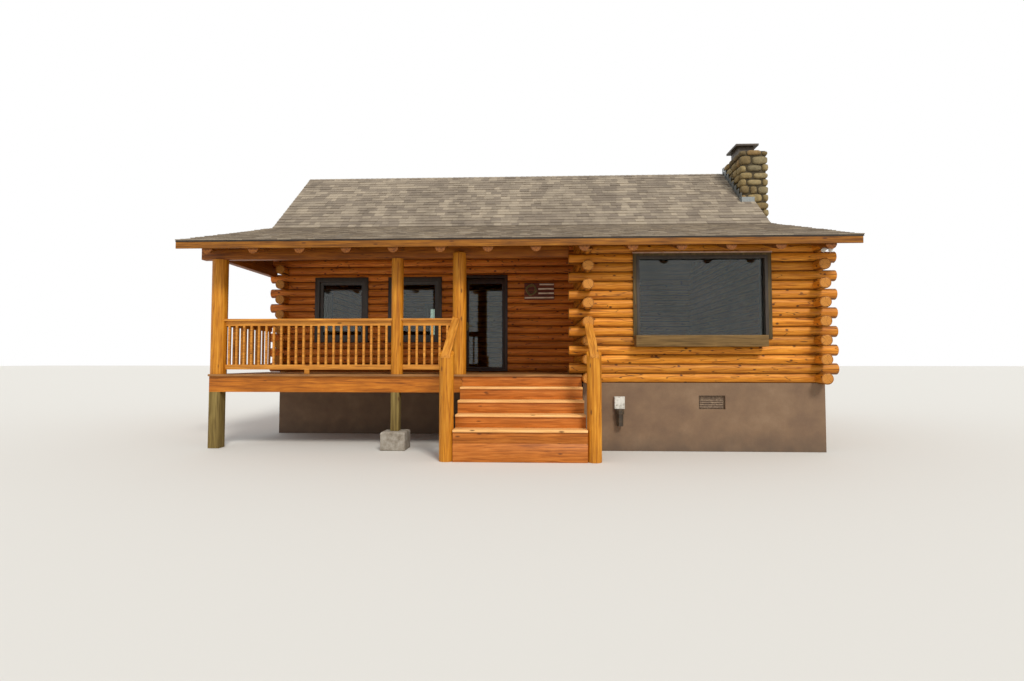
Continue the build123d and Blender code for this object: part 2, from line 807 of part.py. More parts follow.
# Railings: flat cap board on an upright rail, square balusters and a bottom rail
rail_top = deck_top + rail_height
upper_rail_top = rail_top - rail_board
baluster_top = upper_rail_top - rail_height_of_board
baluster_bottom = deck_top + bottom_rail_gap + rail_height_of_board
with BuildPart() as front_rails:
    for start, end in ((corner_post_x, middle_post_x), (middle_post_x, stair_post_x)):
        box((start, end), (post_y - cap_board_width / 2, post_y + cap_board_width / 2),
            (upper_rail_top, rail_top))
        box((start, end), (post_y - rail_board / 2, post_y + rail_board / 2), (baluster_top, upper_rail_top))
        box((start, end), (post_y - rail_board / 2, post_y + rail_board / 2),
            (deck_top + bottom_rail_gap, baluster_bottom))
        count = round((end - start) / baluster_spacing) - 2
        with BuildSketch(Plane.XY.offset(baluster_bottom)):
            with Locations(((start + end) / 2, post_y)):
                with GridLocations(baluster_spacing, 1, count, 1):
                    Rectangle(baluster_width, baluster_width)
        extrude(amount=baluster_top - baluster_bottom)
    block_x = (corner_post_x + middle_post_x) / 2
    box((block_x - rail_height_of_board / 2, block_x + rail_height_of_board / 2),
        (post_y - rail_board / 2, post_y + rail_board / 2), (deck_top, deck_top + bottom_rail_gap))
    add(porch_posts.part, mode=Mode.SUBTRACT)
save("front_rails", front_rails)

with BuildPart() as side_rail:
    box((corner_post_x - cap_board_width / 2, corner_post_x + cap_board_width / 2), (post_y, porch_face),
        (upper_rail_top, rail_top))
    box((corner_post_x - rail_board / 2, corner_post_x + rail_board / 2), (post_y, porch_face),
        (baluster_top, upper_rail_top))
    box((corner_post_x - rail_board / 2, corner_post_x + rail_board / 2), (post_y, porch_face),
        (deck_top + bottom_rail_gap, baluster_bottom))
    side_count = round((porch_face - post_y) / baluster_spacing) - 1
    with BuildSketch(Plane.XY.offset(baluster_bottom)):
        with Locations((corner_post_x, (post_y + corner_post_radius + porch_face) / 2)):
            with GridLocations(1, baluster_spacing, 1, side_count):
                Rectangle(baluster_width, baluster_width)
    extrude(amount=baluster_top - baluster_bottom)
    add(porch_posts.part, mode=Mode.SUBTRACT)
    add(front_rails.part, mode=Mode.SUBTRACT)
save("side_rail", side_rail)

# Stair: four board treads and five closed risers on two sawn stringers
stair_x = (wing_x + stair_left_from_wing, wing_x + stair_right_from_wing)


def riser_back(k):
    return wall_face - tread_run * (k - 1)


def tread_top(k):
    return deck_top - riser_height * k


with BuildPart() as stair_treads:
    for k in range(1, tread_count + 1):
        box(stair_x, (riser_back(k + 1) - deck_nose, riser_back(k)),
            (tread_top(k) - deck_thickness, tread_top(k)))
save("stair_treads", stair_treads)

with BuildPart() as stair_risers:
    for k in range(1, tread_count + 2):
        bottom = tread_top(k) if k <= tread_count else 0
        box(stair_x, (riser_back(k) - riser_board, riser_back(k)),
            (bottom, tread_top(k - 1) - deck_thickness))
save("stair_risers", stair_risers)

with BuildPart() as stair_stringers:
    outline = [(riser_back(1), tread_top(1) - deck_thickness)]
    for k in range(1, tread_count + 1):
        outline.append((riser_back(k + 1), tread_top(k) - deck_thickness))
        outline.append((riser_back(k + 1), tread_top(k + 1) - deck_thickness if k < tread_count else 0))
    outline.append((riser_back(tread_count + 1) + stringer_depth, 0))
    outline.append((riser_back(1), tread_top(1) - deck_thickness - stringer_depth))
    for x in (stair_x[0], stair_x[1] - stringer_thickness):
        with BuildSketch(at_x(x)):
            with BuildLine():
                Polyline(*outline, close=True)
            make_face()
        extrude(amount=stringer_thickness)
save("stair_stringers", stair_stringers)

# Round newels beside the foot of the stair, with sloping board handrails
newel_y = riser_back(tread_count + 1) + newel_behind_riser
newel_xs = (stair_x[0] - newel_radius, stair_x[1] + newel_radius)
handrail_ends = (wall_face + stair_post_setback, front_y - log_reach)


def handrail_under(y):
    return newel_height + handrail_rise * (y - newel_y)


handrail_start = newel_y - newel_radius
with BuildPart() as stair_newels:
    with BuildSketch():
        with Locations(*[(x, newel_y) for x in newel_xs]):
            Circle(newel_radius)
    extrude(amount=handrail_under(newel_y + newel_radius))
    with BuildSketch(at_x(newel_xs[0] - newel_radius)):
        with BuildLine():
            Polyline((handrail_start, handrail_under(handrail_start)),
                     (newel_y + newel_radius, handrail_under(newel_y + newel_radius)),
                     (handrail_start, handrail_under(newel_y + newel_radius)), close=True)
        make_face()
    extrude(amount=newel_xs[1] - newel_xs[0] + 2 * newel_radius, mode=Mode.SUBTRACT)
save("stair_newels", stair_newels)

with BuildPart() as stair_handrails:
    board_lift = rail_board * math.hypot(1, handrail_rise)
    for x, end in zip((newel_xs[0], newel_xs[1]), handrail_ends):
        with BuildSketch(at_x(x - cap_board_width / 2)):
            with BuildLine():
                Polyline((handrail_start, handrail_under(handrail_start)), (end, handrail_under(end)),
                         (end, handrail_under(end) + board_lift),
                         (handrail_start, handrail_under(handrail_start) + board_lift), close=True)
            make_face()
        extrude(amount=cap_board_width)
    add(porch_posts.part, mode=Mode.SUBTRACT)
    add(front_rails.part, mode=Mode.SUBTRACT)
save("stair_handrails", stair_handrails)

# Window frames: a deep casing through the log wall with a sash set in it, and their panes
wall_depth = 2 * (log_radius + frame_proud)
window_places = (
    [Plane((x, porch_y - wall_depth / 2, window_sill), x_dir=(1, 0, 0), z_dir=(0, -1, 0)) for x in windows_x]
    + [Plane((x, back_y + wall_depth / 2, window_sill), x_dir=(-1, 0, 0), z_dir=(0, 1, 0))
       for x in back_windows_x]
    + [Plane((left_x - wall_depth / 2, side_window_y, window_sill), x_dir=(0, -1, 0), z_dir=(-1, 0, 0)),
       Plane((right_x + wall_depth / 2, wing_window_y, window_sill), x_dir=(0, 1, 0), z_dir=(1, 0, 0))]
)
picture_place = Plane((picture_x, front_y - wall_depth / 2, picture_sill), x_dir=(1, 0, 0), z_dir=(0, -1, 0))
pane_width = window_width - 2 * (casing_width + sash_width)
pane_height = window_height - 2 * (casing_width + sash_width)
picture_pane = (picture_width - 2 * picture_frame, picture_height - 2 * picture_frame)


def ring(height, outer, border):
    """Rectangular ring in a sketch."""
    with Locations((0, height)):
        Rectangle(*outer)
        Rectangle(outer[0] - 2 * border, outer[1] - 2 * border, mode=Mode.SUBTRACT)


with BuildPart() as window_frames:
    for place in window_places:
        with BuildSketch(place):
            ring(window_height / 2, (window_width, window_height), casing_width)
        extrude(amount=-wall_depth)
        with BuildSketch(place.offset(-sash_setback)):
            ring(window_height / 2, (window_width - 2 * casing_width, window_height - 2 * casing_width),
                 sash_width)
        extrude(amount=-sash_depth)
    with BuildSketch(picture_place):
        ring(picture_height / 2, (picture_width, picture_height), picture_frame)
    extrude(amount=-wall_depth)
save("window_frames", window_frames)

with BuildPart() as window_glass:
    for place, size, height in [(p, (pane_width, pane_height), window_height) for p in window_places] + [
            (picture_place, picture_pane, picture_height)]:
        with BuildSketch(place.offset(-sash_setback - (sash_depth - glass_thickness) / 2)):
            with Locations((0, height / 2)):
                Rectangle(*size)
        extrude(amount=-glass_thickness)
save("window_glass", window_glass)

# Trim boards on the logs around the picture window
with BuildPart() as picture_trim:
    with BuildSketch(Plane((picture_x, wall_face, picture_sill), x_dir=(1, 0, 0), z_dir=(0, -1, 0))):
        with Locations((0, (picture_height + picture_trim_width) / 2)):
            Rectangle(picture_width + 2 * picture_trim_width, picture_height + picture_trim_width)
        with Locations((0, picture_height / 2)):
            Rectangle(picture_width, picture_height, mode=Mode.SUBTRACT)
    extrude(amount=frame_proud)
save("picture_trim", picture_trim)

# Flat wooden plaque hung on the porch wall
with BuildPart() as wall_plaque:
    plaque_left = wing_x + plaque_left_from_wing
    box((plaque_left, plaque_left + plaque_width), (porch_face - plaque_thickness, porch_face),
        (plaque_bottom, plaque_bottom + plaque_height))
save("wall_plaque", wall_plaque)

# Flower box under the picture window, filled with soil to below its rim
with BuildPart() as flower_box:
    box_left = wing_x + flower_box_left_from_wing
    box_back = front_y - wall_depth / 2
    box((box_left, box_left + flower_box_width), (box_back - flower_box_depth, box_back),
        (flower_box_bottom, flower_box_bottom + flower_box_height))
    box((box_left + flower_box_board, box_left + flower_box_width - flower_box_board),
        (box_back - flower_box_depth + flower_box_board, box_back - flower_box_board),
        (flower_box_bottom + flower_box_height - flower_box_rim, flower_box_bottom + flower_box_height),
        mode=Mode.SUBTRACT)
save("flower_box", flower_box)

# Door frame through the log wall, with a glazed leaf that swings inwards on three hinges
frame_out = porch_y - wall_depth / 2
frame_in = porch_y + wall_depth / 2
clear_left = door_left + door_frame_width
clear_right = door_right - door_frame_width
clear_bottom = floor_top + threshold_height
clear_top = door_head - door_frame_width
leaf_left = clear_left + door_gap
leaf_right = clear_right - door_gap
leaf_bottom = clear_bottom + door_gap
leaf_top = clear_top - door_gap
leaf_out = frame_in - door_thickness
hinge_x = clear_right - door_gap / 2
hinge_y = frame_in + hinge_radius + hinge_play
plate_start = hinge_radius + 1
hinge_zs = (leaf_bottom + hinge_from_ends, (leaf_bottom + leaf_top) / 2, leaf_top - hinge_from_ends)


def hinge_half(z, side, part_z):
    """Plate on one side of the gap, with the web that carries its knuckle."""
    near, far = hinge_x + side * plate_start, hinge_x + side * (plate_start + hinge_leaf)
    box((min(near, far), max(near, far)), (frame_in, frame_in + hinge_plate),
        (z - hinge_height / 2, z + hinge_height / 2))
    box((min(hinge_x, near), max(hinge_x, near)), (hinge_y - hinge_radius, hinge_y), part_z)


with BuildPart() as door_frame:
    box((door_left, door_right), (frame_out, frame_in), (floor_top, door_head))
    box((clear_left, clear_right), (frame_out, frame_in), (clear_bottom, clear_top), mode=Mode.SUBTRACT)
save("door_frame", door_frame)

with BuildPart() as door_hinges:
    for z in hinge_zs:
        hinge_half(z, 1, (z - hinge_height / 2, z - hinge_play / 2))
        with BuildSketch(Plane.XY.offset(z - hinge_height / 2)):
            with Locations((hinge_x, hinge_y)):
                RegularPolygon(hinge_radius, hinge_sides)
        extrude(amount=(hinge_height - hinge_play) / 2)
        with BuildSketch(Plane.XY.offset(z - hinge_height / 2)):
            with Locations((hinge_x, hinge_y)):
                Circle(hinge_pin_radius)
        extrude(amount=hinge_height)
save("door_hinges", door_hinges)

with BuildPart() as leaf_hinges:
    for z in hinge_zs:
        hinge_half(z, -1, (z + hinge_play / 2, z + hinge_height / 2))
        with BuildSketch(Plane.XY.offset(z + hinge_play / 2)):
            with Locations((hinge_x, hinge_y)):
                RegularPolygon(hinge_radius, hinge_sides)
        extrude(amount=(hinge_height - hinge_play) / 2)
        with BuildSketch(Plane.XY.offset(z)):
            with Locations((hinge_x, hinge_y)):
                Circle(hinge_pin_radius + hinge_play)
        extrude(amount=hinge_height, mode=Mode.SUBTRACT)
save("leaf_hinges", leaf_hinges)

with BuildPart() as front_door:
    box((leaf_left, leaf_right), (leaf_out, frame_in), (leaf_bottom, leaf_top))
    pane_x = (leaf_left + door_stile, leaf_right - door_stile)
    pane_z = (leaf_bottom + door_bottom_rail, leaf_top - door_top_rail)
    box(pane_x, (leaf_out, frame_in), pane_z, mode=Mode.SUBTRACT)
save("front_door", front_door)

with BuildPart() as door_glass:
    pane_y = (leaf_out + frame_in) / 2
    box(pane_x, (pane_y - glass_thickness / 2, pane_y + glass_thickness / 2), pane_z)
save("door_glass", door_glass)

# Lever handles on both faces of the leaf
handle_x = leaf_left + door_stile / 2
handle_z = leaf_bottom + handle_height
with BuildPart() as door_handle:
    for face, out in ((leaf_out, -1), (frame_in, 1)):
        plate_y = (min(face, face + out * 8), max(face, face + out * 8))
        box((handle_x - 22, handle_x + 22), plate_y, (handle_z - 90, handle_z + 90))
        neck_y = (min(face, face + out * 45), max(face, face + out * 45))
        box((handle_x - 9, handle_x + 9), neck_y, (handle_z - 9, handle_z + 9))
        lever_y = (min(face + out * 33, face + out * 47), max(face + out * 33, face + out * 47))
        box((handle_x - 9, handle_x + 110), lever_y, (handle_z - 9, handle_z + 9))
save("door_handle", door_handle)

# Weatherproof outlet box with a small lamp below it, on the foundation
with BuildPart() as outlet_box:
    outlet_x = wing_x + outlet_from_wing
    outlet_back = front_y - footing_outside
    box((outlet_x - outlet_width / 2, outlet_x + outlet_width / 2),
        (outlet_back - outlet_depth, outlet_back), (outlet_bottom, outlet_bottom + outlet_height))
    fillet(outlet_box.edges().filter_by(Axis.Z).group_by(Axis.Y)[0], 12)
save("outlet_box", outlet_box)

with BuildPart() as foundation_lamp:
    lamp_y = outlet_back - lamp_radius
    for radius, height in ((lamp_radius, lamp_hood_height), (lamp_body_radius, lamp_height)):
        with BuildSketch(Plane.XY.offset(outlet_bottom - height)):
            with Locations((outlet_x, lamp_y)):
                RegularPolygon(radius, lamp_sides, major_radius=False, rotation=180 / lamp_sides)
        extrude(amount=height)
    chamfer(foundation_lamp.edges().group_by(Axis.Z)[-1], lamp_hood_chamfer)
save("foundation_lamp", foundation_lamp)

# Twin floodlight on the end of the top log at the right corner
with BuildPart() as floodlight:
    flood_face = front_y - log_reach
    flood_x = right_x + flood_from_corner
    flood_z = course_z(eave_courses - 1) + log_course / 2 - log_radius + flood_base_radius
    with BuildSketch(at_y(flood_face)):
        with Locations((flood_x, flood_z)):
            RegularPolygon(flood_base_radius, lamp_sides, rotation=180 / lamp_sides)
    extrude(amount=board_thickness)
    for side in (-1, 1):
        head = Plane(
            origin=(flood_x + side * flood_radius * 0.6, flood_face - board_thickness, flood_z),
            z_dir=(side * 0.6, -0.55, -0.7),
        )
        for start, radius in ((0, flood_neck_radius), (flood_neck_length, flood_radius)):
            with BuildSketch(head.offset(start)):
                RegularPolygon(radius, lamp_sides)
            extrude(amount=flood_length - start)
save("floodlight", floodlight)
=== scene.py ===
import math
import random

import bmesh
import bpy
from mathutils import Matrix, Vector, noise


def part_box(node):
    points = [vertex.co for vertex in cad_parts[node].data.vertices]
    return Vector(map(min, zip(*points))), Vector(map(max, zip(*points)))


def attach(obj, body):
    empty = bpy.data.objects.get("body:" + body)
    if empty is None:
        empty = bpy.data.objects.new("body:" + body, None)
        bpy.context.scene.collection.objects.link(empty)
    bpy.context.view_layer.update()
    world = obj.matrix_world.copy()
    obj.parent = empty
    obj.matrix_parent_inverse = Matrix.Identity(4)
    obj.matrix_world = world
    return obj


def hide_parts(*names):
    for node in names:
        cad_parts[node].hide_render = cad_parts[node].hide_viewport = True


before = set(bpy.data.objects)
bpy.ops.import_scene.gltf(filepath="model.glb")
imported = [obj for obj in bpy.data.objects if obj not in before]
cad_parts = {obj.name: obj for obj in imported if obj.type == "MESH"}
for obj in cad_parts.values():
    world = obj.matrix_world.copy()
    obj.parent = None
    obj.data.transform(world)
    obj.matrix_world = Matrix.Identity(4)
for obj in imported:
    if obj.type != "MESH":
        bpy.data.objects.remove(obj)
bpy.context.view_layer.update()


# Foundation: hollow concrete blocks, parged with a thin coat and painted a brown mauve.
# Rain splash has stained the paint near the ground, and the block joints show faintly through it.
def linear(code):
    """sRGB hex to the linear colour that a shader takes."""
    parts = [int(code[i:i + 2], 16) / 255 for i in (1, 3, 5)]
    return tuple(c / 12.92 if c <= 0.04045 else ((c + 0.055) / 1.055) ** 2.4 for c in parts) + (1.0,)


def add(tree, kind, links={}, ramp=None, **settings):
    """One shader node with its settings, what feeds its sockets, and a ramp's stops if it has them."""
    made = tree.nodes.new(kind)
    for key, value in settings.items():
        setattr(made, key, value)
    for socket, value in links.items():
        if isinstance(value, bpy.types.NodeSocket):
            tree.links.new(value, made.inputs[socket])
        else:
            made.inputs[socket].default_value = value
    if ramp:
        stops = made.color_ramp.elements
        while len(stops) < len(ramp):
            stops.new(1.0)
        for stop, (position, colour) in zip(stops, ramp):
            stop.position = position
            stop.color = colour if isinstance(colour, tuple) else (colour, colour, colour, 1.0)
    return made


def blank(name):
    """A new material with an empty node tree."""
    material = bpy.data.materials.new(name)
    material.use_nodes = True
    material.node_tree.nodes.clear()
    return material, material.node_tree


def close(tree, **sockets):
    """The surface shader and the output at the end of a material."""
    names = {key.replace("_", " ").title().replace("Ior", "IOR"): value for key, value in sockets.items()}
    shader = add(tree, "ShaderNodeBsdfPrincipled", names)
    add(tree, "ShaderNodeOutputMaterial", {"Surface": shader.outputs[0]})


def dress(material, *names):
    """Puts a material on frame nodes."""
    for name in names:
        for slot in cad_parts[name].material_slots:
            slot.material = material


painted_parging, tree = blank("painted_parging")
place = add(tree, "ShaderNodeTexCoord").outputs["Object"]
blotches = add(tree, "ShaderNodeTexNoise", {"Vector": place, "Scale": 1.7, "Detail": 6.0, "Roughness": 0.62})
paint = add(tree, "ShaderNodeValToRGB", {0: blotches.outputs["Fac"]},
            ramp=[(0.3, linear("#6E5643")), (0.52, linear("#7E644C")), (0.72, linear("#8B7158"))])
height = add(tree, "ShaderNodeSeparateXYZ", {0: place}).outputs["Z"]
splash_edge = add(tree, "ShaderNodeTexNoise", {"Vector": place, "Scale": 5.0, "Detail": 5.0})
splash_height = add(tree, "ShaderNodeMath", {0: splash_edge.outputs["Fac"], 1: 0.5, 2: height},
                    operation="MULTIPLY_ADD")
splash = add(tree, "ShaderNodeMapRange", {"Value": splash_height.outputs[0], "From Min": 0.22,
                                          "From Max": 0.62, "To Min": 0.75, "To Max": 0.0})
stained = add(tree, "ShaderNodeMixRGB", {"Fac": splash.outputs[0], "Color1": paint.outputs["Color"],
                                         "Color2": linear("#5A4A3C")})
# 400 by 200 mm blocks with 10 mm joints; on the walls that run front to back only the beds show
run = add(tree, "ShaderNodeVectorRotate", {"Vector": place, "Angle": math.radians(90)},
          rotation_type="X_AXIS")
blocks = add(tree, "ShaderNodeTexBrick",
             {"Vector": run.outputs[0], "Scale": 1.0, "Brick Width": 0.41, "Row Height": 0.21,
              "Mortar Size": 0.008, "Mortar Smooth": 0.6, "Color1": (1, 1, 1, 1), "Color2": (1, 1, 1, 1),
              "Mortar": (0, 0, 0, 1)})
grit = add(tree, "ShaderNodeTexNoise", {"Vector": place, "Scale": 90.0, "Detail": 5.0})
relief = add(tree, "ShaderNodeMath", {0: blocks.outputs["Color"], 1: 0.16, 2: grit.outputs["Fac"]},
             operation="MULTIPLY_ADD")
bump = add(tree, "ShaderNodeBump", {"Height": relief.outputs[0], "Strength": 0.5, "Distance": 0.004})
close(tree, base_color=stained.outputs[0], roughness=0.82, normal=bump.outputs[0])
dress(painted_parging, "foundation_long_walls", "foundation_side_walls")


# Foundation vent: louvred aluminium, brushed over with the foundation's paint.
# Dirt has gathered on the louvres, and the paint is thin on their edges.
painted_louvres, tree = blank("painted_aluminium_louvres")
place = add(tree, "ShaderNodeTexCoord").outputs["Object"]
grime = add(tree, "ShaderNodeTexNoise", {"Vector": place, "Scale": 30.0, "Detail": 6.0, "Roughness": 0.6})
brushed = add(tree, "ShaderNodeValToRGB", {0: grime.outputs["Fac"]},
              ramp=[(0.3, linear("#4E3E30")), (0.5, linear("#6F5843")), (0.72, linear("#9A8468"))])
bump = add(tree, "ShaderNodeBump", {"Height": grime.outputs["Fac"], "Strength": 0.2, "Distance": 0.001})
close(tree, base_color=brushed.outputs[0], roughness=0.6, normal=bump.outputs[0])
dress(painted_louvres, "foundation_vent")


# Lamp and chimney cap: pressed steel sheet with a dark bronze powder coat.
# The coat is satin, slightly uneven, and dusty where water runs off it.
powder_coat, tree = blank("bronze_powder_coat")
place = add(tree, "ShaderNodeTexCoord").outputs["Object"]
dust = add(tree, "ShaderNodeTexNoise", {"Vector": place, "Scale": 14.0, "Detail": 6.0, "Roughness": 0.65})
coat = add(tree, "ShaderNodeValToRGB", {0: dust.outputs["Fac"]},
           ramp=[(0.35, linear("#30271D")), (0.6, linear("#463827")), (0.8, linear("#65523A"))])
orange_peel = add(tree, "ShaderNodeTexNoise", {"Vector": place, "Scale": 400.0})
bump = add(tree, "ShaderNodeBump", {"Height": orange_peel.outputs["Fac"], "Strength": 0.1,
                                    "Distance": 0.001})
close(tree, base_color=coat.outputs[0], roughness=0.48, normal=bump.outputs[0])
dress(powder_coat, "foundation_lamp", "chimney_cap")


# Outlet box and floodlight: moulded weatherproof plastic and cast housings in off-white.
# The surface is smooth with a faint yellowing and a little dirt in blotches.
off_white, tree = blank("off_white_moulding")
place = add(tree, "ShaderNodeTexCoord").outputs["Object"]
dirt = add(tree, "ShaderNodeTexNoise", {"Vector": place, "Scale": 22.0, "Detail": 5.0})
skin = add(tree, "ShaderNodeValToRGB", {0: dirt.outputs["Fac"]},
           ramp=[(0.3, linear("#A9A498")), (0.5, linear("#D5D2C8")), (0.75, linear("#E2E0D8"))])
bump = add(tree, "ShaderNodeBump", {"Height": dirt.outputs["Fac"], "Strength": 0.05, "Distance": 0.001})
close(tree, base_color=skin.outputs[0], roughness=0.4, normal=bump.outputs[0])
dress(off_white, "outlet_box", "floodlight")


# Log walls: peeled pine logs of 200 mm, bedded flat on each other and stained a clear honey tone.
# Each log has its own tone, long streaks, knots and drying checks; the beds between logs are dark, partly
# with painted shade, and the full round ends at the corners show growth rings with a few radial cracks.
course_height = 0.165
first_bed = 1.2


def log_wood(name, along, line, light, middle, dark):
    """Stained pine for a wall whose logs lie along one axis, their centres on the given line."""
    material, tree = blank(name)
    place = add(tree, "ShaderNodeTexCoord").outputs["Object"]
    split = add(tree, "ShaderNodeSeparateXYZ", {0: place})
    length = split.outputs[along]
    above = add(tree, "ShaderNodeMath", {0: split.outputs[2], 1: first_bed}, operation="SUBTRACT")
    turns = add(tree, "ShaderNodeMath", {0: above.outputs[0], 1: course_height}, operation="DIVIDE")
    course = add(tree, "ShaderNodeMath", {0: turns.outputs[0]}, operation="FLOOR").outputs[0]
    part = add(tree, "ShaderNodeMath", {0: turns.outputs[0]}, operation="FRACT")
    up = add(tree, "ShaderNodeMath", {0: part.outputs[0], 1: course_height, 2: -course_height / 2},
             operation="MULTIPLY_ADD").outputs[0]
    out = add(tree, "ShaderNodeMath", {0: split.outputs[1 - along], 1: line},
              operation="SUBTRACT").outputs[0]
    turn = add(tree, "ShaderNodeMath", {0: up, 1: out}, operation="ARCTAN2").outputs[0]
    own_start = add(tree, "ShaderNodeMath", {0: course, 1: 3.71, 2: length}, operation="MULTIPLY_ADD")
    in_log = add(tree, "ShaderNodeCombineXYZ", {0: own_start.outputs[0], 1: out, 2: up})
    # Streaks 25 mm across and half a metre long, with finer ones inside them
    stretch = add(tree, "ShaderNodeMapping", {"Vector": in_log.outputs[0], "Scale": (2.2, 40.0, 40.0)})
    streaks = add(tree, "ShaderNodeTexNoise", {"Vector": stretch.outputs[0], "Scale": 1.0, "Detail": 7.0,
                                               "Roughness": 0.62, "Distortion": 0.4})
    stain = add(tree, "ShaderNodeValToRGB", {0: streaks.outputs["Fac"]},
                ramp=[(0.3, linear(dark)), (0.48, linear(middle)), (0.68, linear(light))])
    own = add(tree, "ShaderNodeTexWhiteNoise", {"W": course}, noise_dimensions="1D")
    tone = add(tree, "ShaderNodeMapRange", {"Value": own.outputs["Value"], "To Min": 0.74, "To Max": 1.12})
    toned = add(tree, "ShaderNodeMixRGB", {"Fac": 1.0, "Color1": stain.outputs[0],
                                           "Color2": tone.outputs[0]}, blend_type="MULTIPLY")
    # Weathering in patches a metre or two long
    patches = add(tree, "ShaderNodeTexNoise", {"Vector": place, "Scale": 0.9, "Detail": 3.0})
    patch = add(tree, "ShaderNodeMapRange", {"Value": patches.outputs["Fac"], "From Min": 0.42,
                                             "From Max": 0.7, "To Max": 0.45})
    worn = add(tree, "ShaderNodeMixRGB", {"Fac": patch.outputs[0], "Color1": toned.outputs[0],
                                          "Color2": linear(dark)})
    # Knots 40 mm across, about two to a metre on each log
    ring_place = add(tree, "ShaderNodeCombineXYZ", {
        0: add(tree, "ShaderNodeMath", {0: own_start.outputs[0], 1: 2.1}, operation="MULTIPLY").outputs[0],
        1: add(tree, "ShaderNodeMath", {0: turn, 1: 0.3, 2: course}, operation="MULTIPLY_ADD").outputs[0]})
    knots = add(tree, "ShaderNodeTexVoronoi", {"Vector": ring_place.outputs[0], "Scale": 1.0},
                voronoi_dimensions="2D")
    knot = add(tree, "ShaderNodeMapRange", {"Value": knots.outputs["Distance"], "From Min": 0.035,
                                            "From Max": 0.075, "To Min": 0.9, "To Max": 0.0})
    knotted = add(tree, "ShaderNodeMixRGB", {"Fac": knot.outputs[0], "Color1": worn.outputs[0],
                                             "Color2": linear("#4A2510")})
    # Drying checks a few millimetres wide, drawn a little wide so that they show
    check_place = add(tree, "ShaderNodeMapping", {"Vector": in_log.outputs[0], "Scale": (1.1, 11.0, 11.0)})
    check_field = add(tree, "ShaderNodeTexNoise", {"Vector": check_place.outputs[0], "Scale": 1.0,
                                                   "Detail": 1.0})
    check_gap = add(tree, "ShaderNodeMath", {0: check_field.outputs["Fac"], 1: 0.56}, operation="SUBTRACT")
    check_near = add(tree, "ShaderNodeMath", {0: check_gap.outputs[0]}, operation="ABSOLUTE")
    check = add(tree, "ShaderNodeMapRange", {"Value": check_near.outputs[0], "From Min": 0.002,
                                             "From Max": 0.01, "To Min": 0.8, "To Max": 0.0})
    checked = add(tree, "ShaderNodeMixRGB", {"Fac": check.outputs[0], "Color1": knotted.outputs[0],
                                             "Color2": linear("#3E2110")})
    # Towards the beds the last 20 mm of each log darkens: partly dirt and old stain, partly painted shade in
    # the crease between logs
    from_middle = add(tree, "ShaderNodeMath", {0: up}, operation="ABSOLUTE")
    bed_dirt_and_shade = add(tree, "ShaderNodeMapRange", {"Value": from_middle.outputs[0], "From Min": 0.062,
                                           "From Max": 0.0825, "To Max": 0.85})
    bedded = add(tree, "ShaderNodeMixRGB", {"Fac": bed_dirt_and_shade.outputs[0], "Color1": checked.outputs[0],
                                            "Color2": linear("#3A1C0A")})
    # Log ends: growth rings about the heart, 3 mm apart in the wood and drawn 20 mm apart so that
    # they show, with radial cracks and an edge darkened by the stain
    from_heart = add(tree, "ShaderNodeVectorMath", {0: add(
        tree, "ShaderNodeCombineXYZ", {0: out, 1: up}).outputs[0]}, operation="LENGTH")
    wobble = add(tree, "ShaderNodeTexNoise", {"Vector": place, "Scale": 14.0, "Detail": 3.0})
    ring = add(tree, "ShaderNodeMath", {0: wobble.outputs["Fac"], 1: 0.02, 2: from_heart.outputs["Value"]},
               operation="MULTIPLY_ADD")
    ring_wave = add(tree, "ShaderNodeMath", {0: add(
        tree, "ShaderNodeMath", {0: ring.outputs[0], 1: 2 * math.pi / 0.02}, operation="MULTIPLY"
    ).outputs[0]}, operation="SINE")
    ring_colour = add(tree, "ShaderNodeValToRGB", {0: add(
        tree, "ShaderNodeMapRange", {"Value": ring_wave.outputs[0], "From Min": -1.0}).outputs[0]},
        ramp=[(0.0, linear("#A0601F")), (1.0, linear("#DC973F"))])
    spokes = add(tree, "ShaderNodeMath", {0: turn, 1: 0.8, 2: own.outputs["Value"]},
                 operation="MULTIPLY_ADD")
    spoke = add(tree, "ShaderNodeMath", {0: spokes.outputs[0], 1: 1.0}, operation="PINGPONG")
    crack = add(tree, "ShaderNodeMapRange", {"Value": spoke.outputs[0], "From Min": 0.01, "From Max": 0.05,
                                             "To Min": 0.9, "To Max": 0.0})
    cracked = add(tree, "ShaderNodeMixRGB", {"Fac": crack.outputs[0], "Color1": ring_colour.outputs[0],
                                             "Color2": linear("#2E1A0C")})
    rim = add(tree, "ShaderNodeMapRange", {"Value": ring.outputs[0], "From Min": 0.085, "From Max": 0.108,
                                           "To Max": 0.65})
    rimmed = add(tree, "ShaderNodeMixRGB", {"Fac": rim.outputs[0], "Color1": cracked.outputs[0],
                                            "Color2": linear("#7A4210")})
    facing = add(tree, "ShaderNodeSeparateXYZ", {0: add(tree, "ShaderNodeNewGeometry").outputs["Normal"]})
    flat = add(tree, "ShaderNodeMath", {0: facing.outputs[along]}, operation="ABSOLUTE")
    at_end = add(tree, "ShaderNodeMath", {0: flat.outputs[0], 1: 0.8}, operation="GREATER_THAN")
    wood = add(tree, "ShaderNodeMixRGB", {"Fac": at_end.outputs[0], "Color1": bedded.outputs[0],
                                          "Color2": rimmed.outputs[0]})
    depth = add(tree, "ShaderNodeMath", {0: check.outputs[0], 1: -1.5, 2: streaks.outputs["Fac"]},
                operation="MULTIPLY_ADD")
    bump = add(tree, "ShaderNodeBump", {"Height": depth.outputs[0], "Strength": 0.55, "Distance": 0.005})
    sheen = add(tree, "ShaderNodeMapRange", {"Value": streaks.outputs["Fac"], "To Min": 0.62,
                                             "To Max": 0.42})
    close(tree, base_color=wood.outputs[0], roughness=sheen.outputs[0], specular_ior_level=0.28,
          normal=bump.outputs[0])
    return material


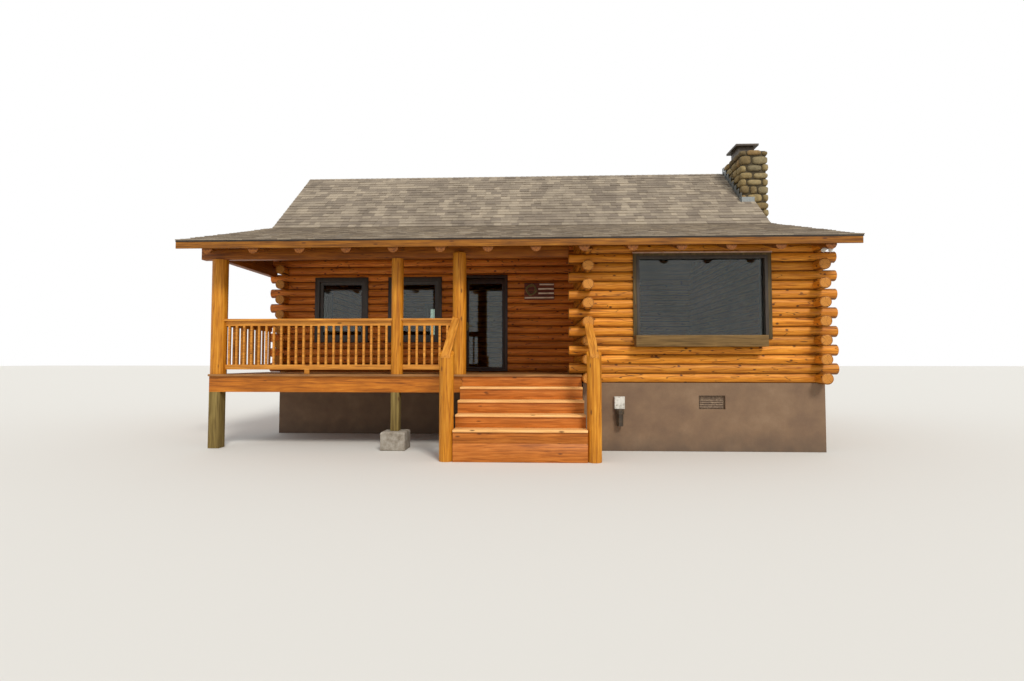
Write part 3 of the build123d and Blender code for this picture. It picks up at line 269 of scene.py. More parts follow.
log_radius = 0.1
swelling = 0.028
cut_spacing = 0.24
first_cut = 0.07
end_rise = 0.0912
no_tip = 99
bed_angle = math.asin(course_height / 2 / log_radius)
bed_half = log_radius * math.cos(bed_angle)
facet = bed_angle / 2
crown = math.pi / 2 - bed_angle


def hewn_radius(angle):
    """Reach of the flat-sided solid from a log's heart, at an angle above level."""
    if angle <= bed_angle:
        middle = (math.floor(angle / facet) + 0.5) * facet
        return log_radius * math.cos(facet / 2) / math.cos(angle - middle)
    return log_radius * math.cos(crown / 2) / math.cos(angle - bed_angle - crown / 2)


def cut_across(form, axis, position, items=None):
    """Divides a mesh where a plane crosses it."""
    direction = [0, 0, 0]
    direction[axis] = 1
    spot = [value * position for value in direction]
    items = items or form.verts[:] + form.edges[:] + form.faces[:]
    bmesh.ops.bisect_plane(form, geom=items, plane_co=spot, plane_no=direction, dist=0.0005)


def placed(name, mesh, material, body="cabin"):
    """A finished mesh as a piece that rides on a body and takes its finish from a material slot."""
    made = bpy.data.objects.new(name, mesh)
    bpy.context.scene.collection.objects.link(made)
    mesh.materials.append(material)
    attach(made, body)
    return made


def rides_as(name, form, material, node, body="cabin"):
    """A smoothed piece, which stands for a node if one is given."""
    mesh = bpy.data.meshes.new(name)
    form.to_mesh(mesh)
    form.free()
    for face in mesh.polygons:
        face.use_smooth = True
    mesh.set_sharp_from_angle(angle=math.radians(35))
    made = placed(name, mesh, material, body)
    if node:
        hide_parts(node)


def plain_form(node):
    """A node's solid as a mesh with its flat faces whole."""
    form = bmesh.new()
    form.from_mesh(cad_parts[node].data)
    bmesh.ops.remove_doubles(form, verts=form.verts[:], dist=0.00002)
    bmesh.ops.dissolve_limit(form, angle_limit=math.radians(0.6), verts=form.verts[:], edges=form.edges[:])
    return form


def round_logs(name, node, along, line, material, tips=(-no_tip, no_tip), parity=1, stands=True):
    """The logs of one wall with round sides that swell and thin a little along their length.

    Past the tips only every second log runs on, full and round: the odd courses, or with parity 0 the even.
    """
    form = plain_form(node)
    # What lies more than 300 mm from the line is the other wall of a node that holds two
    far = [vertex for vertex in form.verts if abs(vertex.co[1 - along] - line) > 0.3]
    bmesh.ops.delete(form, geom=far, context="VERTS")
    levels = [vertex.co.z for vertex in form.verts]
    first = math.floor((min(levels) - first_bed) / course_height + 0.01)
    last = math.ceil((max(levels) - first_bed) / course_height - 0.01)
    halfway = [log_radius * (math.sin(facet * k) + math.sin(facet * (k + 1))) / 2 for k in (0, 1)]
    for course in range(first, last):
        heart = first_bed + (course + 0.5) * course_height
        for rise in halfway:
            cut_across(form, 2, heart + rise)
            cut_across(form, 2, heart - rise)
    # Full round ends reach past the beds, so they are divided there too
    for course in range(first, last):
        heart = first_bed + (course + 0.5) * course_height
        for rise in (end_rise, -end_rise):
            ends = {v for v in form.verts if not tips[0] + 0.001 < v.co[along] < tips[1] - 0.001}
            if (course - parity) % 2 == 0 and ends:
                items = list(ends) + [e for e in form.edges if ends.issuperset(e.verts)]
                items += [f for f in form.faces if ends.issuperset(f.verts)]
                cut_across(form, 2, heart + rise, items)
    places = [vertex.co[along] for vertex in form.verts]
    spot = math.floor(min(places) / cut_spacing) * cut_spacing + first_cut
    while spot < max(places):
        cut_across(form, along, spot)
        spot += cut_spacing
    for vertex in form.verts:
        level = (vertex.co.z - first_bed) / course_height
        course = math.floor(level)
        outside = not tips[0] + 0.001 < vertex.co[along] < tips[1] - 0.001
        if outside:
            course = parity + 2 * round((level - 0.5 - parity) / 2)
        heart = first_bed + (course + 0.5) * course_height
        up, out = vertex.co.z - heart, vertex.co[1 - along] - line
        angle = math.atan2(abs(up), abs(out))
        if outside or angle <= bed_angle + 0.0001:
            fullness = min(max((abs(out) - bed_half) / (log_radius - bed_half), 0), 1)
            wave = noise.noise(Vector((vertex.co[along] * 1.1, course * 5.3, line * 3)))
            swell = log_radius / hewn_radius(angle) * (1 + swelling * fullness * wave)
            vertex.co.z = heart + up * swell
            vertex.co[1 - along] = line + out * swell
    rides_as(name, form, material, node if stands else None)


honey = ("#F0A238", "#D3831E", "#904C0D")
# The porch wall's logs take a lighter, redder copy of the honey stain: painted light standing in for the
# light bounced in under the porch roof
porch_bounce_light_tones = ("#F89C40", "#DE7C28", "#A85A1A")
# Centre lines of the walls in plan
front_y, porch_y, back_y = -3.38, -1.28, 4.12
left_x, wing_x, right_x = -5.345, 1.155, 5.205
front_logs = log_wood("stained_logs_front", 0, front_y, *honey)
porch_logs_bounce_lit = log_wood("stained_logs_porch_painted_bounce_light", 0, porch_y, *porch_bounce_light_tones)
back_logs = log_wood("stained_logs_back", 0, back_y, *honey)
wing_logs = log_wood("stained_logs_wing_side", 1, wing_x, *honey)
left_logs = log_wood("stained_logs_left", 1, left_x, *honey)
right_logs = log_wood("stained_logs_right", 1, right_x, *honey)
wing_tip, right_tip, left_tip = wing_x - log_radius, right_x + log_radius, left_x - log_radius
front_tip, porch_tip, back_tip = front_y - log_radius, porch_y - log_radius, back_y + log_radius
round_logs("wing_front_logs", "wing_front_wall", 0, front_y, front_logs, (wing_tip, right_tip))
round_logs("porch_logs_left", "porch_wall_left", 0, porch_y, porch_logs_bounce_lit, (left_tip, no_tip))
round_logs("porch_logs_middle", "porch_wall_middle", 0, porch_y, porch_logs_bounce_lit)
round_logs("porch_logs_right", "porch_wall_right", 0, porch_y, porch_logs_bounce_lit)
round_logs("back_wall_logs", "back_wall", 0, back_y, back_logs, (left_tip, right_tip))
round_logs("wing_side_logs", "wing_side_wall", 1, wing_x, wing_logs, (front_tip, no_tip), 0)
round_logs("left_wall_logs", "left_wall", 1, left_x, left_logs, (porch_tip, back_tip), 0)
round_logs("right_wall_logs", "right_wall", 1, right_x, right_logs, (front_tip, back_tip), 0)
round_logs("wing_gable_logs", "wing_gable", 1, right_x, right_logs)
round_logs("left_gable_logs", "gable_walls", 1, left_x, left_logs)
round_logs("right_gable_logs", "gable_walls", 1, right_x, right_logs, stands=False)


# Sawn and turned timber: rafters, posts, beams, rails and trim, of the same pine as the logs.
# Planed faces show long grain and small knots under a satin stain, and the wood is darker where
# hands, rain and joints have worked on it.
def sawn_wood(name, along, light, middle, dark, roughness=0.5, spacing=None, across=1, weather=0.3,
              tilt=0.0):
    """Stained or oiled pine, its grain along one axis or tilted from it, with joints between boards."""
    material, tree = blank(name)
    place = add(tree, "ShaderNodeTexCoord").outputs["Object"]
    if tilt:
        place = add(tree, "ShaderNodeVectorRotate", {"Vector": place, "Angle": -tilt},
                    rotation_type="X_AXIS").outputs[0]
    scale = [38.0, 38.0, 38.0]
    scale[along] = 1.8
    shift = add(tree, "ShaderNodeObjectInfo").outputs["Random"]
    if spacing:
        sides = add(tree, "ShaderNodeSeparateXYZ", {0: place})
        boards = add(tree, "ShaderNodeMath", {0: sides.outputs[across], 1: spacing}, operation="DIVIDE")
        shift = add(tree, "ShaderNodeTexWhiteNoise", {"W": add(
            tree, "ShaderNodeMath", {0: boards.outputs[0]}, operation="FLOOR").outputs[0]},
            noise_dimensions="1D").outputs["Value"]
    offset = add(tree, "ShaderNodeVectorMath", {0: place, 1: add(
        tree, "ShaderNodeCombineXYZ", {0: shift, 1: shift, 2: shift}).outputs[0]}, operation="ADD")
    stretch = add(tree, "ShaderNodeMapping", {"Vector": offset.outputs[0], "Scale": tuple(scale)})
    grain = add(tree, "ShaderNodeTexNoise", {"Vector": stretch.outputs[0], "Scale": 1.0, "Detail": 7.0,
                                             "Roughness": 0.6, "Distortion": 0.6})
    stain = add(tree, "ShaderNodeValToRGB", {0: grain.outputs["Fac"]},
                ramp=[(0.3, linear(dark)), (0.5, linear(middle)), (0.7, linear(light))])
    knot_scale = [7.0, 7.0, 7.0]
    knot_scale[along] = 2.4
    knot_place = add(tree, "ShaderNodeMapping", {"Vector": offset.outputs[0], "Scale": tuple(knot_scale)})
    knots = add(tree, "ShaderNodeTexVoronoi", {"Vector": knot_place.outputs[0], "Scale": 1.0})
    knot = add(tree, "ShaderNodeMapRange", {"Value": knots.outputs["Distance"], "From Min": 0.06,
                                            "From Max": 0.13, "To Min": 0.8, "To Max": 0.0})
    knotted = add(tree, "ShaderNodeMixRGB", {"Fac": knot.outputs[0], "Color1": stain.outputs[0],
                                             "Color2": linear("#50290F")})
    patches = add(tree, "ShaderNodeTexNoise", {"Vector": place, "Scale": 2.3, "Detail": 5.0})
    patch = add(tree, "ShaderNodeMapRange", {"Value": patches.outputs["Fac"], "From Min": 0.4,
                                             "From Max": 0.75, "To Max": weather})
    colour = add(tree, "ShaderNodeMixRGB", {"Fac": patch.outputs[0], "Color1": knotted.outputs[0],
                                            "Color2": linear(dark)}).outputs[0]
    height = grain.outputs["Fac"]
    if spacing:
        tone = add(tree, "ShaderNodeMapRange", {"Value": shift, "To Min": 0.8, "To Max": 1.1})
        toned = add(tree, "ShaderNodeMixRGB", {"Fac": 1.0, "Color1": colour, "Color2": tone.outputs[0]},
                    blend_type="MULTIPLY")
        edge = add(tree, "ShaderNodeMath", {0: boards.outputs[0], 1: 0.5}, operation="PINGPONG")
        gap = add(tree, "ShaderNodeMapRange", {"Value": edge.outputs[0], "From Min": 0.012,
                                               "From Max": 0.035, "To Min": 0.85, "To Max": 0.0})
        colour = add(tree, "ShaderNodeMixRGB", {"Fac": gap.outputs[0], "Color1": toned.outputs[0],
                                                "Color2": linear("#24140A")}).outputs[0]
        height = add(tree, "ShaderNodeMath", {0: gap.outputs[0], 1: -2.0, 2: height},
                     operation="MULTIPLY_ADD").outputs[0]
    bump = add(tree, "ShaderNodeBump", {"Height": height, "Strength": 0.4, "Distance": 0.003})
    close(tree, base_color=colour, roughness=roughness, specular_ior_level=0.28, normal=bump.outputs[0])
    return material


def eased(material, width, *nodes, body="cabin", joints=()):
    """Pieces that stand for nodes, their sharp edges rounded over; joints are heights of front grooves."""
    for node in nodes:
        form = plain_form(node)
        form.normal_update()
        front = min(vertex.co.y for vertex in form.verts)
        sharp = [edge for edge in form.edges
                 if edge.is_manifold and edge.calc_face_angle() > math.radians(30)]
        bmesh.ops.bevel(form, geom=sharp, offset=width, segments=2, profile=0.6, affect="EDGES",
                        clamp_overlap=True)
        for height in joints:
            for rise in (-0.004, 0, 0.004):
                cut_across(form, 2, height + rise)
            for vertex in form.verts:
                if abs(vertex.co.z - height) < 0.001 and vertex.co.y < front + 0.001:
                    vertex.co.y += 0.006
        rides_as(f"{node}_eased", form, material, node, body)


# The rafters take a darker stain than the other timber: painted shade for the shadow under the eaves where
# their tails show
dress(sawn_wood("rafter_logs_painted_shade", 1, "#9E6020", "#7E4711", "#4E2808"), "log_rafters")
dress(sawn_wood("stained_purlin_logs", 0, "#C98430", "#A9661F", "#6E3A10"), "purlins")
dress(sawn_wood("stained_post_logs", 2, "#E29E34", "#C67E1A", "#8C4F0C"), "porch_posts", "stair_newels")
header_wood = sawn_wood("stained_header", 0, "#AE6A20", "#8F5013", "#5C2F09")
dress(header_wood, "frieze_boards")
eased(header_wood, 0.005, "header_beam")
eased(sawn_wood("stained_side_beam", 1, "#AE6A20", "#8F5013", "#5C2F09"), 0.005, "side_beam")
dress(sawn_wood("stained_gable_boards", 1, "#B8722A", "#985618", "#62300C", spacing=0.14, across=2),
      "porch_gable_board")
dress(sawn_wood("oiled_floor_boards", 0, "#B88450", "#9A6A3C", "#6E4726", roughness=0.4, spacing=0.14),
      "main_floor", "wing_floor")


# Fascia and rake boards: planed one-inch boards in a darker stain along every roof edge.
# They are weathered unevenly, with end joints that gape slightly.
eased(sawn_wood("stained_fascia", 0, "#AC7222", "#915916", "#5A320B", weather=0.5), 0.002, "fascia_boards")
eased(sawn_wood("stained_rakes", 1, "#AC7222", "#915916", "#5A320B", weather=0.5), 0.002, "rake_boards")


# Drip edge: a dark painted aluminium angle nailed along the front eave, under the shingles.
# It stands a few millimetres off the fascia, and its near-black paint is also painted shadow: the dark line
# of shade under the shingle edge above the fascia.
def boxes(name, spans, material, bevel=0.0):
    """Boxes between low and high corners in one mesh, with eased edges."""
    form = bmesh.new()
    for low, high in spans:
        made = bmesh.ops.create_cube(form, size=1.0)["verts"]
        for vertex in made:
            for a in range(3):
                vertex.co[a] = (low[a] + high[a]) / 2 + vertex.co[a] * (high[a] - low[a])
    if bevel:
        bmesh.ops.bevel(form, geom=form.edges[:], offset=bevel, segments=2, affect="EDGES", profile=0.7)
    mesh = bpy.data.meshes.new(name)
    form.to_mesh(mesh)
    form.free()
    return placed(name, mesh, material)


# Near black: the drip edge's dark paint, with painted shadow for the shade line under the shingles
drip_shadow_paint, tree = blank("drip_edge_painted_shadow")
place = add(tree, "ShaderNodeTexCoord").outputs["Object"]
chalk = add(tree, "ShaderNodeTexNoise", {"Vector": place, "Scale": 7.0, "Detail": 6.0})
chalky = add(tree, "ShaderNodeValToRGB", {0: chalk.outputs["Fac"]},
             ramp=[(0.3, linear("#241C15")), (0.7, linear("#3F3328"))])
bump = add(tree, "ShaderNodeBump", {"Height": chalk.outputs["Fac"], "Strength": 0.1, "Distance": 0.001})
close(tree, base_color=chalky.outputs[0], roughness=0.55, normal=bump.outputs[0])
roof_right = 5.645
drip_foot, drip_seat, drip_top = 3.6465, 3.6685, 3.6745
fascia_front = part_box("fascia_boards")[0]
drip_front = fascia_front.y - 0.007
boxes("drip_edge", [((fascia_front.x, drip_front, drip_seat), (roof_right, fascia_front.y, drip_top)),
                    ((fascia_front.x, drip_front, drip_foot),
                     (roof_right, fascia_front.y - 0.0045, drip_top))], drip_shadow_paint)


# Roof decks: tongued and grooved pine boards laid along the eaves and seen from below,
# under asphalt shingles.
dress(sawn_wood("roof_deck_boards", 0, "#C08036", "#A16422", "#6C3E12", spacing=0.13),
      "porch_roof", "front_roof", "back_roof")


# Asphalt shingles: laminated strips with tabs of uneven width, nailed in courses 143 mm apart.
# The mineral granules are a weathered grey brown, each tab a little lighter or darker, and each
# course's butt edge casts a thin shadow.
def piece(name, points, faces, material, smooth=False):
    """A piece made of points and the faces between them."""
    mesh = bpy.data.meshes.new(name)
    mesh.from_pydata(points, [], faces)
    mesh.validate()
    for face in mesh.polygons:
        face.use_smooth = smooth
    return placed(name, mesh, material)


granules, tree = blank("asphalt_shingle_granules")
place = add(tree, "ShaderNodeTexCoord").outputs["Object"]
own = add(tree, "ShaderNodeNewGeometry").outputs["Random Per Island"]
base = add(tree, "ShaderNodeValToRGB", {0: own},
           ramp=[(0.0, linear("#7B6F61")), (0.35, linear("#8A7D6D")), (0.7, linear("#978A78")),
                 (1.0, linear("#A69884"))])
streaks = add(tree, "ShaderNodeTexNoise", {
    "Vector": add(tree, "ShaderNodeMapping", {"Vector": place, "Scale": (2.2, 0.5, 0.5)}).outputs[0],
    "Scale": 1.0, "Detail": 5.0})
streak = add(tree, "ShaderNodeMapRange", {"Value": streaks.outputs["Fac"], "From Min": 0.45,
                                          "From Max": 0.75, "To Max": 0.45})
weathered = add(tree, "ShaderNodeMixRGB", {"Fac": streak.outputs[0], "Color1": base.outputs[0],
                                           "Color2": linear("#5C5145")})
# Granules are 1.5 mm; drawn at 8 mm so that the speckle shows
speckle = add(tree, "ShaderNodeTexNoise", {"Vector": place, "Scale": 120.0, "Detail": 3.0})
fleck = add(tree, "ShaderNodeMapRange", {"Value": speckle.outputs["Fac"], "From Min": 0.3,
                                         "From Max": 0.7, "To Min": 0.72, "To Max": 1.22})
speckled = add(tree, "ShaderNodeMixRGB", {"Fac": 1.0, "Color1": weathered.outputs[0],
                                          "Color2": fleck.outputs[0]}, blend_type="MULTIPLY")
bump = add(tree, "ShaderNodeBump", {"Height": speckle.outputs["Fac"], "Strength": 0.6, "Distance": 0.003})
close(tree, base_color=speckled.outputs[0], roughness=0.9, normal=bump.outputs[0])

exposure = 0.143
tab_widths = (0.11, 0.33)
least_tab = 0.08
tab_gap = 0.002
butts = (0.009, 0.012, 0.017)
starter_butt = 0.02
roof_left = -6.003
# Corners of the roof's section, as (y, z) on the decks
porch_eave = (-4.0865, 3.6691)
roof_break = (-0.669, 4.7431)
ridge = (1.42, 6.6373)
back_eave = (4.628, 3.7284)
chimney_left = 5.305
chimney_front = 0.17
draw = random.Random(11)


def shingles(name, low, high, cut=False):
    """Courses of tabs up a slope between its low and high edges, cut round the chimney or not."""
    rise = math.hypot(high[0] - low[0], high[1] - low[1])
    up = ((high[0] - low[0]) / rise, (high[1] - low[1]) / rise)
    normal = (-up[1], up[0]) if up[0] > 0 else (up[1], -up[0])
    points, faces = [], []
    for course in range(math.ceil(rise / exposure)):
        start = course * exposure
        end = min(start + exposure + 0.004, rise)
        if end - start < 0.02:
            break
        beside_chimney = cut and low[0] + up[0] * start > chimney_front - 0.004
        x = roof_left
        while x < roof_right:
            stop = min(x + draw.uniform(*tab_widths), roof_right)
            if roof_right - stop < least_tab:
                stop = roof_right
            butt = draw.choice(butts) if course else starter_butt
            last = min(stop, chimney_left - 0.002) if beside_chimney else stop
            if last - x > 0.02:
                n = len(points)
                for along, lift in ((start, butt), (end, 0.003), (start, 0)):
                    y = low[0] + up[0] * along + normal[0] * lift
                    z = low[1] + up[1] * along + normal[1] * lift
                    points.extend([(x + tab_gap / 2, y, z), (last - tab_gap / 2, y, z)])
                faces.append((n, n + 1, n + 3, n + 2))
                faces.append((n + 4, n + 5, n + 1, n))
                faces.append((n, n + 2, n + 4))
                faces.append((n + 1, n + 5, n + 3))
            x = stop
    piece(name, points, faces, granules)


shingles("porch_slope_shingles", porch_eave, roof_break)
shingles("front_slope_shingles", roof_break, ridge, cut=True)
shingles("back_slope_shingles", back_eave, ridge)

# Ridge caps bend over the ridge and lap along it; beside the chimney only their back half stays
cap_front, cap_back, cap_foot = ridge[0] - 0.11, ridge[0] + 0.11, 6.5375
cap_points, cap_faces = [], []
x = roof_left
while x < roof_right - 0.02:
    stop = min(x + exposure, roof_right)
    n = len(cap_points)
    for side, lift in ((x, 0.012), (stop + 0.004 if stop < roof_right else stop, 0.005)):
        for y, z in ((cap_front, cap_foot), ridge, (cap_back, cap_foot)):
            cap_points.append((side, y, z + lift))
        cap_points += [(side, cap_front, cap_foot), (side, cap_back, cap_foot)]
    if x < chimney_left - exposure:
        cap_faces += [(n + 5, n + 6, n + 1, n), (n + 6, n + 7, n + 2, n + 1),
                      (n, n + 1, n + 2, n + 4, n + 3), (n + 3, n + 8, n + 5, n),
                      (n + 2, n + 7, n + 9, n + 4)]
    else:
        cap_faces += [(n + 6, n + 7, n + 2, n + 1), (n + 2, n + 7, n + 9, n + 4)]
    x = stop
ridge_caps = piece("ridge_cap_shingles", cap_points, cap_faces, granules)
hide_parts("ridge_cap")


# Chimney: rounded fieldstones, mostly 200 to 400 mm long, laid in rough courses in sandy mortar.
# The stones run from tan to grey and dark brown, mottled and rough, with rounded faces that
# stand proud of the deep-raked joints.
stone_skin, tree = blank("rough_fieldstone")
place = add(tree, "ShaderNodeTexCoord").outputs["Object"]
own = add(tree, "ShaderNodeNewGeometry").outputs["Random Per Island"]
kind = add(tree, "ShaderNodeValToRGB", {0: own},
           ramp=[(0.0, linear("#66563A")), (0.25, linear("#8A7448")), (0.45, linear("#9C885C")),
                 (0.6, linear("#8F6C3E")), (0.75, linear("#7C7156")), (1.0, linear("#AB9668"))])
mottle = add(tree, "ShaderNodeTexNoise", {"Vector": place, "Scale": 11.0, "Detail": 8.0, "Roughness": 0.65})
shade = add(tree, "ShaderNodeMapRange", {"Value": mottle.outputs["Fac"], "From Min": 0.3, "From Max": 0.72,
                                         "To Min": 0.55, "To Max": 1.2})
mottled = add(tree, "ShaderNodeMixRGB", {"Fac": 1.0, "Color1": kind.outputs[0], "Color2": shade.outputs[0]},
              blend_type="MULTIPLY")
lichen = add(tree, "ShaderNodeTexNoise", {"Vector": place, "Scale": 26.0, "Detail": 5.0})
crust = add(tree, "ShaderNodeMapRange", {"Value": lichen.outputs["Fac"], "From Min": 0.62,
                                         "From Max": 0.7, "To Max": 0.5})
crusted = add(tree, "ShaderNodeMixRGB", {"Fac": crust.outputs[0], "Color1": mottled.outputs[0],
                                         "Color2": linear("#A9AA8C")})
pits = add(tree, "ShaderNodeTexNoise", {"Vector": place, "Scale": 60.0, "Detail": 6.0})
rough = add(tree, "ShaderNodeMath", {0: mottle.outputs["Fac"], 1: 3.0, 2: pits.outputs["Fac"]},
            operation="MULTIPLY_ADD")
bump = add(tree, "ShaderNodeBump", {"Height": rough.outputs[0], "Strength": 0.6, "Distance": 0.008})
close(tree, base_color=crusted.outputs[0], roughness=0.9, normal=bump.outputs[0])

# The mortar is far darker than sand: painted shade deep in the raked joints, over the sand's own grain
mortar, tree = blank("raked_mortar_painted_shade")
place = add(tree, "ShaderNodeTexCoord").outputs["Object"]
sand = add(tree, "ShaderNodeTexNoise", {"Vector": place, "Scale": 70.0, "Detail": 6.0})
sandy = add(tree, "ShaderNodeValToRGB", {0: sand.outputs["Fac"]},
            ramp=[(0.3, linear("#332B1D")), (0.7, linear("#574C36"))])
bump = add(tree, "ShaderNodeBump", {"Height": sand.outputs["Fac"], "Strength": 0.6, "Distance": 0.004})
close(tree, base_color=sandy.outputs[0], roughness=0.95, normal=bump.outputs[0])

stack_low = (chimney_left, chimney_front, 0.0)
stack_high = (6.005, ridge[0], 6.806)
stone_heights = (0.14, 0.25)
stone_lengths = (0.18, 0.42)
stone_depth = 0.16
joint = 0.016
core_inset = 0.065
core_top = 6.79
draw = random.Random(4)
points, faces = [], []
lattice = (-1.0, -0.62, 0.0, 0.62, 1.0)
roundness = 3.2


def stone(low, high):
    """A rounded stone that fills most of a box, its skin slightly uneven."""
    keys = {}
    for i in range(5):
        for j in range(5):
            for k in range(5):
                if i in (0, 4) or j in (0, 4) or k in (0, 4):
                    u, v, w = lattice[i], lattice[j], lattice[k]
                    shrink = sum(abs(value) ** roundness for value in (u, v, w)) ** (-1 / roundness)
                    place = []
                    for a, value in enumerate((u, v, w)):
                        middle = (low[a] + high[a]) / 2
                        half = (high[a] - low[a]) / 2
                        value = value * shrink * (1 - 0.07 * draw.random())
                        spot = middle + half * value
                        place.append(min(max(spot, stack_low[a]), stack_high[a]))
                    keys[i, j, k] = len(points)
                    points.append(tuple(place))
    for a in range(3):
        for end in (0, 4):
            for p in range(4):
                for q in range(4):
                    corner = []
                    for dp, dq in ((0, 0), (1, 0), (1, 1), (0, 1)):
                        spot = [p + dp, q + dq]
                        spot.insert(a, end)
                        corner.append(keys[tuple(spot)])
                    faces.append(tuple(corner) if (end == 4) != (a == 1) else tuple(reversed(corner)))


z = 0.0
row = 0
while z < stack_high[2] - 0.02:
    tall = draw.uniform(*stone_heights)
    if stack_high[2] - z - tall < 0.11:
        tall = stack_high[2] - z
    for side in range(4):
        # Sides in turn: front, right, back, left; corner stones belong to alternate sides
        along = 0 if side in (0, 2) else 1
        own_corner = (row + side) % 2 == 0
        run_low = stack_low[along] + (0 if own_corner else stone_depth)
        run_high = stack_high[along] - (0 if own_corner else stone_depth)
        at = run_low
        while at < run_high - 0.01:
            wide = draw.uniform(*stone_lengths)
            if run_high - at - wide < 0.16:
                wide = run_high - at
            sunk, raised = draw.uniform(-0.018, 0.018), draw.uniform(-0.018, 0.018)
            lowers, uppers = [0, 0, z + sunk + joint / 2], [0, 0, z + tall + raised - joint / 2]
            lowers[along], uppers[along] = at + joint / 2, at + wide - joint / 2
            if side in (0, 3):
                lowers[1 - along] = stack_low[1 - along] + draw.uniform(0, 0.012)
                uppers[1 - along] = stack_low[1 - along] + stone_depth
            else:
                lowers[1 - along] = stack_high[1 - along] - stone_depth
                uppers[1 - along] = stack_high[1 - along] - draw.uniform(0, 0.012)
            stone(lowers, uppers)
            at += wide
    z += tall
    row += 1
chimney_stones = piece("chimney_fieldstones", points, faces, stone_skin, smooth=True)
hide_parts("chimney_stack")
boxes("chimney_mortar", [([a + core_inset for a in stack_low[:2]] + [0.0],
                          [a - core_inset for a in stack_high[:2]] + [core_top])], mortar)


# Flashing: folded galvanised steel, stepped up the roof beside the chimney, with an apron in front.
# It has dulled to a mid grey with a faint bloom.
galvanised, tree = blank("dulled_galvanised_sheet")
place = add(tree, "ShaderNodeTexCoord").outputs["Object"]
bloom = add(tree, "ShaderNodeTexVoronoi", {"Vector": place, "Scale": 45.0})
zinc = add(tree, "ShaderNodeValToRGB", {0: bloom.outputs["Distance"]},
           ramp=[(0.0, linear("#8F9392")), (1.0, linear("#6E7272"))])
bump = add(tree, "ShaderNodeBump", {"Height": bloom.outputs["Distance"], "Strength": 0.1, "Distance": 0.001})
close(tree, base_color=zinc.outputs[0], metallic=0.85, roughness=0.55, normal=bump.outputs[0])
step_length, step_pitch, step_rise, highest_step = 0.2, 0.17, 0.27, 6.78
apron_right, apron_rise = 5.632, 0.12
steps = []
steep = (ridge[1] - roof_break[1]) / (ridge[0] - roof_break[0])
y = chimney_front - 0.05
while y < ridge[0] - 0.05:
    foot = roof_break[1] + steep * (y - roof_break[0])
    head = min(foot + step_rise, highest_step)
    steps.append(((chimney_left - 0.004, y, foot),
                  (chimney_left - 0.001, min(y + step_length, ridge[0]), head)))
    y += step_pitch
apron = roof_break[1] + steep * (chimney_front - roof_break[0])
steps.append(((chimney_left - 0.03, chimney_front - 0.004, apron - 0.02),
              (apron_right, chimney_front - 0.001, apron + apron_rise)))
boxes("step_flashing", steps, galvanised)


# Porch deck: 140 mm pine boards laid along the porch with narrow gaps, edges eased.
# Feet and rain have worn the stain lighter and greyer than on the walls.
deck_x, deck_y, deck_z = (-5.719, 1.055), (-3.525, -1.38), (1.307, 1.345)
board_width = 0.139
board_pitch = 0.143
worn_boards = sawn_wood("worn_deck_boards", 0, "#BC8950", "#9A6B3C", "#6B4626", roughness=0.6,
                        spacing=board_pitch, across=1, weather=0.4)
deck_spans = []
y = deck_y[0]
while y < deck_y[1] - 0.01:
    deck_spans.append(((deck_x[0], y, deck_z[0]), (deck_x[1], min(y + board_width, deck_y[1]), deck_z[1])))
    y += board_pitch
deck_boards = boxes("deck_boards", deck_spans, worn_boards, bevel=0.003)
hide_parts("porch_deck")


# Deck frame and legs: pressure-treated pine, rim boards stained with the porch and legs left bare.
# The bare wood keeps a greenish tan cast and small drying checks.
eased(sawn_wood("stained_rim_boards", 0, "#D5862A", "#B96B1A", "#7E430D", weather=0.45), 0.003, "deck_frame")
eased(sawn_wood("treated_pine_legs", 2, "#94804A", "#7A6636", "#564522", roughness=0.75), 0.004, "deck_legs")


# Pier: cast concrete with a trowelled top, pale grey with pits and earth splashed on it.
cast_concrete, tree = blank("cast_concrete")
place = add(tree, "ShaderNodeTexCoord").outputs["Object"]
cloud = add(tree, "ShaderNodeTexNoise", {"Vector": place, "Scale": 9.0, "Detail": 8.0, "Roughness": 0.7})
cement = add(tree, "ShaderNodeValToRGB", {0: cloud.outputs["Fac"]},
             ramp=[(0.3, linear("#756A5B")), (0.55, linear("#9C9488")), (0.75, linear("#B4AEA3"))])
bump = add(tree, "ShaderNodeBump", {"Height": cloud.outputs["Fac"], "Strength": 0.4, "Distance": 0.006})
close(tree, base_color=cement.outputs[0], roughness=0.9, normal=bump.outputs[0])
eased(cast_concrete, 0.012, "concrete_pier")


# Railings: planed pine, a flat cap over an upright rail and square balusters, stained honey.
eased(sawn_wood("stained_rail_front", 0, "#E8A548", "#CE8832", "#94581C"), 0.003, "front_rails")
eased(sawn_wood("stained_rail_side", 1, "#DE9836", "#C47C22", "#8A4F13"), 0.003, "side_rail")
rail_low, rail_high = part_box("stair_handrails")
rail_slope = math.atan2(rail_high.z - rail_low.z, rail_high.y - rail_low.y)
eased(sawn_wood("stained_handrails", 1, "#E6A448", "#CE8730", "#92561A", tilt=rail_slope), 0.004,
      "stair_handrails")


# Stair: thick pine treads on closed risers between sawn stringers.
# The treads are the lightest wood of the front, partly wear and partly painted sunlight on their tops, and
# the tall riser at the foot is two boards, one on the other.
# Far lighter than the risers of the same stain: painted sunlight on the tread tops, with a little wear
eased(sawn_wood("treads_painted_sunlight", 0, "#FBCB8C", "#F0B872", "#CA8C4A", weather=0.2), 0.006, "stair_treads")
foot_joint = 0.295
eased(sawn_wood("stained_risers", 0, "#D2843A", "#BA6A22", "#824310"), 0.002, "stair_risers",
      joints=(foot_joint,))
eased(sawn_wood("stained_stringers", 1, "#D2843A", "#BA6A22", "#824310"), 0.003, "stair_stringers")


